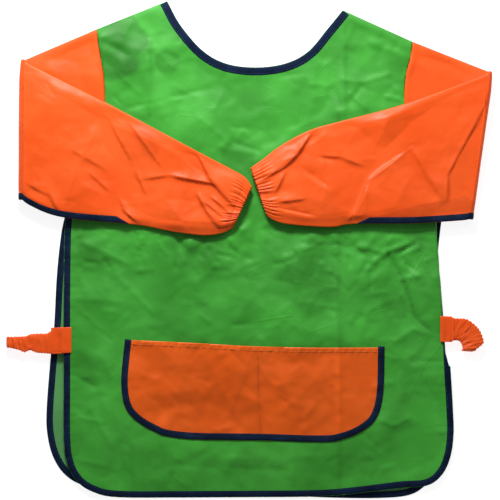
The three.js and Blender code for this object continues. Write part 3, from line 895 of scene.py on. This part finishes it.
# %% Pocket outline
pocket_edge = smooth_path(
    [
        (-157, -109), (-161, -150), (-160.5, -174), (-156, -192), (-147, -204), (-134.5, -213.5),
        (-122, -220), (-109, -225.4), (-88, -228.8), (-64, -230.2), (0, -231.2), (40, -232.4),
        (69, -233.2), (92, -233), (106, -230), (119, -225.5), (132, -218.5), (144.5, -207.5), (152, -191),
        (155.6, -165), (156.5, -118),
    ]
)
POCKET_TOP = smooth_path([(156.5, -119.5), (80, -119.5), (2, -118), (-70, -114), (-157, -110)])
DIVIDER = smooth_path([(2.5, -118), (4, -150), (5, -190), (7.5, -224)])
HEM = 6.0
pocket_outline = np.vstack([pocket_edge[:-1], POCKET_TOP[:-1]])
print("pocket outline:", len(pocket_outline), "points")

# %% Heights of the pocket
pocket_creases = [
    ((101, -122), (101, -228), 0.9, 3.0), ((-60, -130), (-20, -205), 0.8, 5.0),
    ((-110, -150), (-60, -210), -0.7, 6.0), ((30, -200), (80, -150), 0.7, 6.0),
]


def pocket_height(x, y):
    base = front_height(x, y)
    rim, along = distance_to(pocket_edge, x, y)
    seam = distance_to(DIVIDER, x, y)[0]
    top = distance_to(POCKET_TOP, x, y)[0]
    belly = 2.6 * smooth_step((rim - 5) / 60) * smooth_step(seam / 45)
    relief = 0.32 * cloth_relief(x, y, 31)
    relief += scattered_creases(x, y, (-155, -230), (155, -120), 60, 33, height=0.6)
    for start, end, height, width in pocket_creases:
        relief += crease(x, y, start, end, height, width)
    relief += 0.35 * np.sin(2 * math.pi * along / 11.0) * np.exp(-rim / 9.0)
    relief *= smooth_step(rim / 12) * (0.25 + 0.75 * smooth_step(seam / 8))
    relief = np.maximum(relief + belly, -0.1)
    sewn = 0.5 * np.exp(-seam / 1.8) * smooth_step(rim / 6)
    hem = 0.2 * smooth_step((HEM + 1.0 - top) / 3.0)
    pucker = np.sin(2 * math.pi * (x + 0.6 * top) / 9.0) * np.exp(-(((top - HEM) / 4.0) ** 2))
    hem += 0.5 * pucker * smooth_step(rim / 12)
    return base + 1.0 + relief + hem - sewn


# %% Make the pocket
pocket_bm = cut_sheet(pocket_outline, 2.6)
x, y = places(pocket_bm)
raise_points(pocket_bm, x, y, pocket_height(x, y))
# Painted light and shade along the pocket's creases: a paler line on the pressed crease, darker lines by the
# divider.
pocket_painted_creases = [
    ((101, -122), (101, -228), -0.15), ((3, -122), (6, -224), 0.2), ((-2, -125), (-30, -205), 0.16),
]
# The pocket's colour also gets one painted shade patch at its lower left.
pocket = finish(
    "pocket_cloth", pocket_bm, pocket_nylon, nodes=["pocket_panel"], thickness=CLOTH,
    tone=lambda x, y: painted_facet_shading(x, y, 231, 0.05, [((-85, -200), 26, 0.06)], pocket_painted_creases),
)

hem_low = POCKET_TOP + left_normals(POCKET_TOP) * HEM
inside_hem = slice(2, -2)
hem_high = POCKET_TOP - left_normals(POCKET_TOP) * 0.3
hem_strip = np.vstack([hem_high[inside_hem], hem_low[inside_hem][::-1]])
hem_bm = cut_sheet(hem_strip, 2.0)
x, y = places(hem_bm)
hem_reach = distance_to(POCKET_TOP, x, y)[0]
hem_lift = 0.3 * smooth_step((HEM - hem_reach) / 2.2)
raise_points(hem_bm, x, y, pocket_height(x, y) + hem_lift)
pocket_hem = finish(
    "pocket_hem", hem_bm, hem_nylon, nodes=["pocket_top_hem"], thickness=0.22
)


def pocket_tape_height(x, y):
    return pocket_height(x, y) + 0.1


make_tape("pocket_tape", pocket_edge, pocket_tape_height, TAPE_WIDTH, ["pocket_binding"])


def on_pocket(path, lift=0.35):
    return np.column_stack([path, pocket_height(path[:, 0], path[:, 1]) + lift])


stitch_rows("pocket_divider_thread", [on_pocket(DIVIDER)], rust_thread, nodes=["pocket_divider_stitch"])
hem_seam = (POCKET_TOP + left_normals(POCKET_TOP) * (HEM - 1.2))[inside_hem]
stitch_rows("pocket_hem_stitches", [on_pocket(hem_seam, 0.42)], hem_thread)

# %% [markdown]
# ## The sleeves
#
# A sleeve is one piece of cloth folded along its top and left open underneath, where its cut edges are
# bound, for the first half of its length. It leaves the armhole, lies flat to the elbow, folds over on
# itself there and comes back across the chest to a gathered cuff. One grid makes the whole of it: its rows
# run from the armhole round the fold to the cuff, its columns run from the lower edge of one layer, over
# the top fold, to the lower edge of the other layer.

# %% Sleeve measures
FOLD_RADIUS = 4.2
HALF_GAP = 2.3
COLUMNS = 110
ROWS_UPPER, ROWS_FOLD, ROWS_FOREARM = 30, 10, 158
HEM_STEPS = (1, 2, 4, 7, 10)
PLEATS = 15
WRIST_SEAM = 0.962
ROUND_REACH, EDGE_REACH = 16.0, 11.0
LAP_HEIGHT, LAP_WIDTH = 2.3, 1.1
HIDDEN_HIGHEST, UPPER_HIGHEST, FOREARM_HIGHEST = 0.8, 1.5, 4.0

joints = {j["name"]: j for j in frame["joints"]}
fold_height = joints["left_sleeve_unfold"]["pos_m"][2] / MM - 0.5
SLEEVES["left"]["armhole"] = armhole_left
SLEEVES["right"]["armhole"] = armhole_right[::-1] * [-1, 1]
print("sleeves fold at", round(fold_height, 2), "mm above the table")

# %% Creases of the forearms
def lapped(x, y, start, end, height, width):
    """A fold that laps over: it rises towards the line from its left and drops sharply on its right."""
    length, along, across = beside(x, y, start, end)
    past = np.minimum(across, 0) / width
    drop = 2.2 * np.exp(past / 0.35) - 1.2 * np.exp(past / 1.2)
    rise = np.where(across > 0, np.exp(-across / width), drop)
    return height * rise * fade_at_ends(along, length, width, 3)


forearm_folds = {
    "left": [
        ((-70, 117), (-52, 81), 1.5, 6.0), ((-54, 84), (-24, 50), 1.7, 6.0),
        ((-69, 66), (-57, 43), 1.3, 5.0), ((-58, 45), (-42, 25), 1.5, 5.0),
        ((-101, 88), (-48, 78), 1.1, 6.0), ((-143, 93), (-132, 66), 1.0, 6.0),
        ((-162, 61), (-158, 46), 0.9, 4.0), ((-158, 47), (-133, 23), 1.2, 5.0),
        ((-133, 84), (-101, 89), 0.8, 6.0), ((-272, 77), (-246, 65), 1.1, 5.0),
        ((-246, 65), (-237, 46), 1.2, 4.5), ((-52, 62), (-28, 41), 0.9, 3.5),
        ((-192, 150), (-228, 52), 0.9, 12.0), ((-177, 157), (-150, 108), 1.1, 11.0),
        ((-200, 92), (-176, 70), 0.6, 5.0), ((-150, 150), (-112, 98), 0.7, 8.0),
        ((-60, 56), (-36, 36), 0.7, 3.0), ((-222, 120), (-180, 96), 0.6, 8.0),
    ],
    "right": [
        ((-69, 142), (-49, 111), 1.5, 6.0), ((-50, 113), (-29, 94), 1.8, 6.0),
        ((-31, 97), (-8, 82), 1.6, 5.0), ((-89, 73), (-59, 95), -1.0, 6.0),
        ((-91, 105), (-78, 110), -0.8, 5.0), ((-36, 92), (-24, 66), 1.1, 4.5),
        ((-118, 34), (-138, 83), 1.2, 8.0), ((-138, 83), (-188, 122), 1.2, 8.0),
        ((-126, 40), (-134, 72), 0.7, 5.0), ((-118, 42), (-112, 32), 0.9, 4.0),
        ((-284, 186), (-232, 89), 1.0, 6.0), ((-232, 89), (-231, 58), 0.9, 6.0),
        ((-224, 62), (-188, 120), 0.9, 8.0), ((-131, 99), (-104, 110), 0.8, 6.0),
        ((-104, 110), (-79, 112), 0.7, 5.0), ((-60, 60), (-26, 56), 0.8, 5.0),
        ((-70, 40), (-22, 50), -0.8, 5.0), ((-200, 130), (-150, 120), 0.5, 8.0),
    ],
}


# %% Sleeve rows
def sleeve_rows(name):
    """For each row: its flat places from top to lower edge, its turn round the elbow, and its share."""
    shape = SLEEVES[name]
    elbow = resampled(np.array(shape["crease"], float), COLUMNS + 1)
    outwards = -left_normals(elbow)[0]
    elbow = elbow - outwards * (FOLD_RADIUS + HALF_GAP)
    armhole = resampled(shape["armhole"], COLUMNS + 1)
    top = resampled(smooth_path(shape["top"]), ROWS_FOREARM)
    low = resampled(smooth_path(shape["low"]), ROWS_FOREARM)
    even = np.linspace(0, 1, COLUMNS + 1)
    across = 0.6 * even + 0.4 * (0.5 - 0.5 * np.cos(math.pi * even))
    for t in np.linspace(0, 1, ROWS_UPPER):
        yield "upper", t, -90.0, armhole * (1 - t) + elbow * t, across, outwards
    for t in np.linspace(0, 1, ROWS_FOLD + 2)[1:-1]:
        yield "fold", t, -90.0 + 180.0 * t, elbow, across, outwards
    for i, t in enumerate(np.linspace(0, 1, ROWS_FOREARM)):
        line = top[i] * (1 - across[:, None]) + low[i] * across[:, None]
        start = min(1.0, t / 0.05)
        yield "forearm", t, 90.0, line * start + elbow * (1 - start), across, outwards


# %% Gathers at the wrist
def gathers(across, t, side, name):
    """Pleats that deepen towards the elastic, and the pinch where its casing is sewn."""
    seed = 71 if name == "left" else 73
    warp = 0.9 * swell(across * 100, 0 * across + 60 * t, 14, seed) + 0.3 * side
    phase = 2 * math.pi * (PLEATS * across + warp)
    depth = smooth_step((t - 0.9) / 0.05) * (1.15 + 0.35 * swell(across * 100, 0 * across, 9, seed + 1))
    pleat = depth * (np.abs(np.sin(phase / 2)) ** 0.7 * 1.5 - 0.9)
    fan = swell(across * 100, 0 * across + 25 * t, 12, seed + 2)
    radiating = 0.8 * smooth_step((t - 0.78) / 0.12) * fan
    puff = 1.2 * smooth_step((t - 0.74) / 0.16) * np.sin(math.pi * across) ** 0.5
    pinch = -0.5 * math.exp(-(((t - WRIST_SEAM) / 0.006) ** 2))
    return pleat + radiating + puff + pinch


# %% Sleeve surface
def sleeve_surface(name):
    seed = 101 if name == "left" else 131
    rows = []
    for part, t, angle, flat, across, outwards in sleeve_rows(name):
        x, y = flat[:, 0], flat[:, 1]
        wide = np.linalg.norm(flat[-1] - flat[0])
        top_round = np.clip(across * wide / ROUND_REACH, 0, 1) ** 0.55
        low_round = np.clip((1 - across) * wide / ROUND_REACH, 0, 1) ** 0.55
        closed = smooth_step((t - SLEEVES[name]["slit"]) / 0.05) if part == "forearm" else 0.0
        half = HALF_GAP * top_round * ((1 - closed) * (0.72 + 0.28 * low_round) + closed * low_round)
        edges = smooth_step(across * wide / EDGE_REACH) * smooth_step((1 - across) * wide / EDGE_REACH)
        layers = []
        for side in (-1, 1):
            seen = side > 0 if part == "forearm" else side < 0
            relief = 1.2 * swell(x, y, 70, seed + side) + 3.6 * facets(x, y, 62, seed + 4 + side)
            relief += 1.6 * facets(x, y, 30, seed + 8 + side) + 0.35 * facets(x, y, 12, seed + 12 + side)
            relief += scattered_creases(
                x, y, (-290, 10), (0, 270), 70, seed + 20 + side, (8.0, 30.0), 0.5, 3.0
            )
            calm = 0.35 if part == "fold" else 1.0
            if part == "upper":
                calm = float(smooth_step(t / 0.12)) * (1 - 0.5 * t**4)
            if part == "forearm":
                calm = 0.5 + 0.5 * float(smooth_step(t / 0.1)) - 0.5 * float(smooth_step((t - 0.85) / 0.1))
                if seen:
                    for start, end, height, width in forearm_folds[name]:
                        relief += lapped(x, y, start, end, LAP_HEIGHT * height, LAP_WIDTH * width)
                relief = relief * calm + gathers(across, t, side, name)
                calm = 1.0
            highest = FOREARM_HIGHEST if part == "forearm" else UPPER_HIGHEST
            highest = highest if seen else HIDDEN_HIGHEST
            lift = np.clip(relief * calm * edges * (1.0 if seen else 0.25), -2.0, highest)
            dip = -1.0 * math.exp(-t * 24) * edges if part == "upper" else 0.0
            offset = side * (half + lift + dip)
            if part != "forearm" and not seen:
                offset = np.minimum(offset, 2.9)
            turn = math.radians(angle)
            radius = FOLD_RADIUS + offset
            place = flat + outwards[None, :] * (radius * math.cos(turn))[:, None]
            if part == "forearm":
                along = np.array([-outwards[0], -outwards[1]])
                wave = 0.5 * smooth_step((t - 0.93) / 0.05) * np.sin(2 * math.pi * PLEATS * across)
                place = place + along * wave[:, None]
            layers.append(np.column_stack([place, fold_height + radius * math.sin(turn)]))
        rows.append(np.vstack([layers[0][::-1], layers[1][1:]]))
    return np.array(rows)


def shrunk(rows, share):
    """The same rows with their two layers drawn together."""
    middle = 0.5 * (rows + rows[:, ::-1])
    return middle + share * (rows - middle)


def forearm_blend(piece, name):
    """Bakes the piece's transform into its mesh."""
    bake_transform(piece)


# %% Painted shading of the sleeves
# Painted shade: patches where the sleeves are made darker, standing in for shade on their folds.
painted_shade_orange = {
    "left": [
        ((-140, 118), 24, 0.1), ((-88, 48), 20, 0.08), ((-266, 78), 14, 0.06), ((-60, 50), 12, 0.08),
    ],
    "right": [
        ((197, 208), 15, 0.08), ((60, 110), 24, 0.06), ((244, 110), 14, 0.06), ((84, 52), 16, 0.05),
    ],
}
UNDER_LAYER = [(123, 34), (196, 54), (231, 60), (253, 66), (271, 52)]


# Painted shade on a sleeve: darker facets, painted shade along the forearm folds and over patches, and the
# right forearm made darker below the UNDER_LAYER line.
def sleeve_tone(name, x, y):
    folds = [(start, end, 0.09 * height) for start, end, height, _ in forearm_folds[name]]
    tone = painted_facet_shading(x * SLEEVES[name]["sign"], y, 241, 0.05, [], folds)
    tone += painted_facet_shading(x, y, 241, 0.0, painted_shade_orange[name])
    if name == "right":
        band_x, band_y = np.array(UNDER_LAYER, float).T
        tone -= 0.2 * smooth_step((np.interp(x, band_x, band_y) - y) / 3.0) * (x > band_x[0])
    return np.minimum(tone, 0.0)


# %% Make the sleeves
sleeve_grids = {}
for name in ("left", "right"):
    rows = sleeve_surface(name)
    hem = np.array([shrunk(rows[-1 - k : -k], 0.66)[0] for k in HEM_STEPS])
    mirror = np.array([SLEEVES[name]["sign"], 1.0, 1.0])
    sleeve_grids[name] = rows * mirror
    bm = loft(np.concatenate([rows, hem]) * mirror, closed=False)
    bmesh.ops.remove_doubles(bm, verts=bm.verts, dist=0.05)
    sleeve = finish(
        f"{name}_sleeve", bm, orange_nylon, body=None,
        nodes=[f"{name}_upper_sleeve", f"{name}_forearm_sleeve", f"{name}_cuff_casing"], thickness=CLOTH,
        tone=lambda x, y: sleeve_tone(name, x, y),
    )
    forearm_blend(sleeve, name)

# %% [markdown]
# ## Sleeve tapes and wrist elastic
#
# The open half of a sleeve has its two cut edges bound with the same navy tape. Each tape follows its edge
# from the underarm, round the elbow fold, to the point where the sleeve is sewn shut. The section is laid on
# the columns next to the edge, so the tape goes round the fold with the cloth.


# %% Tape on a folded edge
TUCKED_ROWS = 10
EDGE_COLUMNS = 40


def edge_section(grid, section):
    """Lays a section on a grid whose columns lead inwards from an edge, and tucks it in at its end."""
    made = []
    ahead = np.gradient(grid[:, 0], axis=0)
    for k, (line, way) in enumerate(zip(grid, ahead)):
        tuck = min(1.0, (len(grid) - k) / TUCKED_ROWS)
        narrowed = np.array(section) * [tuck, 1.0]
        base = points_at(line, narrowed[:, 0])
        inward = base[np.argmax(narrowed[:, 0])] - line[0]
        up = np.cross(way, inward)
        up /= np.linalg.norm(up)
        made.append(base + narrowed[:, 1:] * up)
    return np.array(made)


for name in ("left", "right"):
    grid = sleeve_grids[name]
    last = ROWS_UPPER + ROWS_FOLD + round((SLEEVES[name]["slit"] + 0.02) * ROWS_FOREARM)
    edges = {"under": grid[:last, :EDGE_COLUMNS], "over": grid[:last, ::-1][:, :EDGE_COLUMNS]}
    nodes = {
        "under": [f"{name}_upper_binding_front"],
        "over": [f"{name}_upper_binding_back", f"{name}_forearm_binding"],
    }
    for layer, edge in edges.items():
        fine = edge_section(edge, tape_section(TAPE_WIDTH))
        tape = finish(
            f"{name}_sleeve_tape_{layer}", loft(fine), navy_tape, body=None,
            nodes=nodes[layer],
        )
        forearm_blend(tape, name)
        rows = [edge_section(edge, [(0.8 * TAPE_WIDTH, side * 0.62), (0.0, 0.0)])[:, 0] for side in (-1, 1)]
        stitches = stitch_rows(
            f"{name}_sleeve_tape_{layer}_stitches", rows, navy_thread, None
        )
        forearm_blend(stitches, name)

# %% Wrist elastic and its seam
INSET = 6

for name in ("left", "right"):
    grid = sleeve_grids[name]
    band = shrunk(grid[-9:-2], 0.83)
    lower, upper = band[:, INSET : COLUMNS + 1 - INSET], band[:, COLUMNS + INSET : -INSET]
    band = np.concatenate([lower, upper], axis=1)
    finish(
        f"{name}_wrist_elastic", loft(band, capped=False), white_elastic, f"{name}_forearm",
        [f"{name}_cuff_elastic"], thickness=0.3,
    )
    seam_row = grid[-1 - round((1 - WRIST_SEAM) * ROWS_FOREARM)]
    lifted = shrunk(seam_row[None], 1.12)[0]
    stitch_rows(f"{name}_wrist_stitches", [lifted], orange_thread, f"{name}_forearm")

# %% [markdown]
# ## Seam allowances
#
# Inside the shoulder and armhole seams, the joined cloth edges lie between the two layers as a narrow
# double strip, overlocked with green thread.


# %% Make the seam allowances
def flat_strip(path, width, thick, level):
    """A narrow doubled strip of cloth along a flat path."""
    half = width / 2
    flank = 0.8 * half
    section = [(-half, 0), (-flank, thick), (flank, thick), (half, 0), (flank, -thick), (-flank, -thick)]
    return on_cloth(path, lambda x, y: np.full_like(x, level) + 0.25 * swell(x, y, 18, 41), section)


SEAM_LEVEL = 3.7
ALLOWANCE, ALLOWANCE_THICK = 6.0, 0.35
armholes = {"left": armhole_left, "right": armhole_right}
shoulders = {"left": left_shoulder, "right": right_shoulder}
for name in ("left", "right"):
    along_shoulder = shoulders[name][3:-3] - left_normals(shoulders[name])[3:-3] * 5.0
    along_armhole = armholes[name][6:-6] + left_normals(armholes[name])[6:-6] * 5.5
    for kind, path in (("shoulder", along_shoulder), ("armhole", along_armhole)):
        level = SEAM_LEVEL if kind == "armhole" else SEAM_LEVEL - 0.3
        strip = flat_strip(path, ALLOWANCE, ALLOWANCE_THICK, level)
        finish(
            f"{name}_{kind}_allowance", loft(strip), green_nylon,
            nodes=[f"{name}_{kind}_seam"],
        )
        stitch_rows(f"{name}_{kind}_overlock", [strip[:, 1], strip[:, 2]], green_thread)

# %% [markdown]
# ## Side straps
#
# Each side has an orange strap with an elastic inside, sewn to the front and back panels. The elastic pulls
# the orange casing into ruches. A strap is one flat tube: it runs out from the front panel, turns round at
# its tip and runs back to the back panel. The left one points straight out, the right one bends down.

# %% Strap shapes
STRAPS = {
    "left": {
        "top": [
            (-243, -96.5), (-251, -102), (-262, -102.4), (-271, -103.2), (-278, -105.6), (-296, -106.4),
        ],
        "low": [
            (-243, -127), (-255, -126), (-263, -125.4), (-271.5, -122.5), (-278, -124.8), (-285, -122),
            (-296, -119.5),
        ],
        "tab": [(-221.5, -94.5), (-246, -95.5), (-246, -127), (-221.5, -125.5)],
        "stitches": ((-234.5, 0.45), (-236.5, 0.45)),
        "seam_x": (-244.5, -223.0),
        "slide": ((-0.250, -0.111, 0.0), (-0.290, -0.111, 0.0)),
        "seed": 3,
        "cut": 0.11,
    },
    "right": {
        "top": [
            (234, -82), (244, -84.2), (254, -84.6), (262, -89), (271, -98), (275, -108), (275.5, -114),
            (267.5, -121),
        ],
        "low": [(234, -112.3), (238, -111), (242, -110.4), (246.5, -111.2), (249.5, -114.6), (251, -120.5)],
        "tab": [(238, -81.8), (223.5, -81.2), (223.5, -112.4), (238, -112.4)],
        "stitches": ((229.0, 0.45), (240.3, 1.45)),
        "seam_x": (238.5, 250.0),
        "slide": ((0.2444, -0.1057, 0.0), (0.2576, -0.1233, 0.0)),
        "seed": 13,
        "cut": 0.11,
    },
}
STRAP_FRONT, STRAP_BACK = 8.4, 3.2
STRAP_HALF, ELASTIC_HALF = 1.35, 0.35
STRAP_ROWS, STRAP_TURN, STRAP_COLUMNS = 84, 10, 36


def strap_surface(shape, half, ruched=1.0, wide=1.0):
    """Rows from the front tab out to the tip, round it, and back to the back panel."""
    top = resampled(smooth_path(shape["top"], 1.0), STRAP_ROWS)
    low = resampled(smooth_path(shape["low"], 1.0), STRAP_ROWS)
    middle = 0.5 * (top + low)
    out_way = np.append(middle[-1] - middle[-4], 0.0)
    out_way /= np.linalg.norm(out_way)
    radius, centre = (STRAP_FRONT - STRAP_BACK) / 2, (STRAP_FRONT + STRAP_BACK) / 2
    stations = [(i, 90.0) for i in range(STRAP_ROWS)]
    stations += [(STRAP_ROWS - 1, a) for a in np.linspace(90, -90, STRAP_TURN + 2)[1:-1]]
    stations += [(i, -90.0) for i in reversed(range(STRAP_ROWS))]
    around = np.linspace(0, 2 * math.pi, STRAP_COLUMNS, endpoint=False)
    v, w = np.cos(around), np.sin(around)
    flatten = np.sign(w) * np.abs(w) ** 0.6
    rows = []
    for k, (i, angle) in enumerate(stations):
        share = i / (STRAP_ROWS - 1)
        gather = float(smooth_step((share - 0.02) / 0.16)) * ruched * (0.6 + 0.4 * share)
        step = np.full_like(v, float(k))
        wave = 6.0 * swell(v * 9, step * 0.5, 8, shape["seed"])
        ruche = 0.3 * np.sin(2 * math.pi * k / 4.6 + wave)
        ruche += 1.3 * facets(step * 0.66, v * 5.0, 2.6, shape["seed"] + 3)
        frill_wave = 2 * swell(step, v, 9, shape["seed"] + 5)
        frill = 1 + gather * 0.05 * np.sin(2 * math.pi * k / 5.3 + frill_wave)
        turn = math.radians(angle)
        normal = np.array([out_way[0] * math.cos(turn), out_way[1] * math.cos(turn), math.sin(turn)])
        spread = (top[i] - low[i]) / 2
        place = np.append(middle[i], centre) + radius * normal
        puff = half * (0.7 + 0.45 * gather)
        thick = puff * flatten + 0.62 * gather * ruche * flatten
        rows.append(place + np.outer(v * frill * wide, np.append(spread, 0)) + np.outer(thick, normal))
    return np.array(rows)


# %% Make the straps
for name, shape in STRAPS.items():
    start_slide, end_slide = shape["slide"]
    casing = finish(
        f"{name}_strap", loft(strap_surface(shape, STRAP_HALF)), orange_nylon, None,
        [f"{name}_front_strap_casing", f"{name}_back_strap_casing", f"{name}_strap_tip"],
    )
    elastic = finish(
        f"{name}_strap_band", loft(strap_surface(shape, ELASTIC_HALF, 0.0, 0.72)), white_elastic, None,
        [f"{name}_front_strap_elastic", f"{name}_back_strap_elastic"],
    )
    for piece in (casing, elastic):
        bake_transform(piece)
        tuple(start_slide)
        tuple(end_slide)
    area = sum(p.area for p in casing.data.polygons)
    print(name, "strap casing, one thickness:", round(area / 2 / 0.031 * 1000), "mm of a 31 mm band")

# %% Strap tabs and their stitches
for name, shape in STRAPS.items():
    corners = np.array(shape["tab"], float)
    sides = [resampled(np.array([a, b]), 12)[:-1] for a, b in zip(corners, np.roll(corners, -1, axis=0))]
    outline = np.vstack(sides)
    layers = (("front", STRAP_FRONT, 0.25, 51), ("back", back_level + 2.2, 0.15, 52))
    for layer, level, ripple, seed in layers:
        bm = cut_sheet(outline, 1.6)
        x, y = places(bm)
        raise_points(bm, x, y, level + ripple * swell(x, y, 9, seed))
        tab = finish(
            f"{name}_{layer}_strap_tab_cloth", bm, orange_nylon, "root",
            [f"{name}_{layer}_strap_tab"], thickness=0.6,
        )
    low, high = corners[:, 1].min() + 1.5, corners[:, 1].max() - 1.5
    rows = [np.array([(x, low, STRAP_FRONT + z), (x, high, STRAP_FRONT + z)]) for x, z in shape["stitches"]]
    ends = shape["seam_x"]
    level = STRAP_FRONT + shape["stitches"][-1][1]
    rows.append(np.array([(ends[0], low + 2.5, level), (ends[1], low + 2.5, level)]))
    stitch_rows(f"{name}_strap_tab_stitches", rows, rust_thread)

# %% [markdown]
# ### The frayed tip
#
# The left strap's tip is sewn across, and the cut ends of its threads stick out past the seam. They are
# short strands like stitches, and they ride on the end of the strap.

# %% Frayed threads at the left strap's tip
FRAYED = [
    ((-293, -107.5), (-301.5, -107.4)), ((-293, -109.5), (-298.5, -111.6)),
    ((-293, -113), (-297.5, -115.3)), ((-293, -116.5), (-297.0, -118.6)),
    ((-293, -110.5), (-300.0, -109.0)),
]
tip_level = 0.5 * (STRAP_FRONT + STRAP_BACK)
threads = [
    np.array([(*start, tip_level + 0.5 * k), (*end, tip_level + 0.3 * k)])
    for k, (start, end) in enumerate(FRAYED)
]
stitch_rows("left_strap_frayed_threads", threads, orange_thread, "left_strap_end")
tip_seam = np.array([(-292.8, -107.5, STRAP_FRONT + 1.2), (-292.8, -119.0, STRAP_FRONT + 1.2)])
stitch_rows("left_strap_tip_stitches", [tip_seam], rust_thread, "left_strap_end")
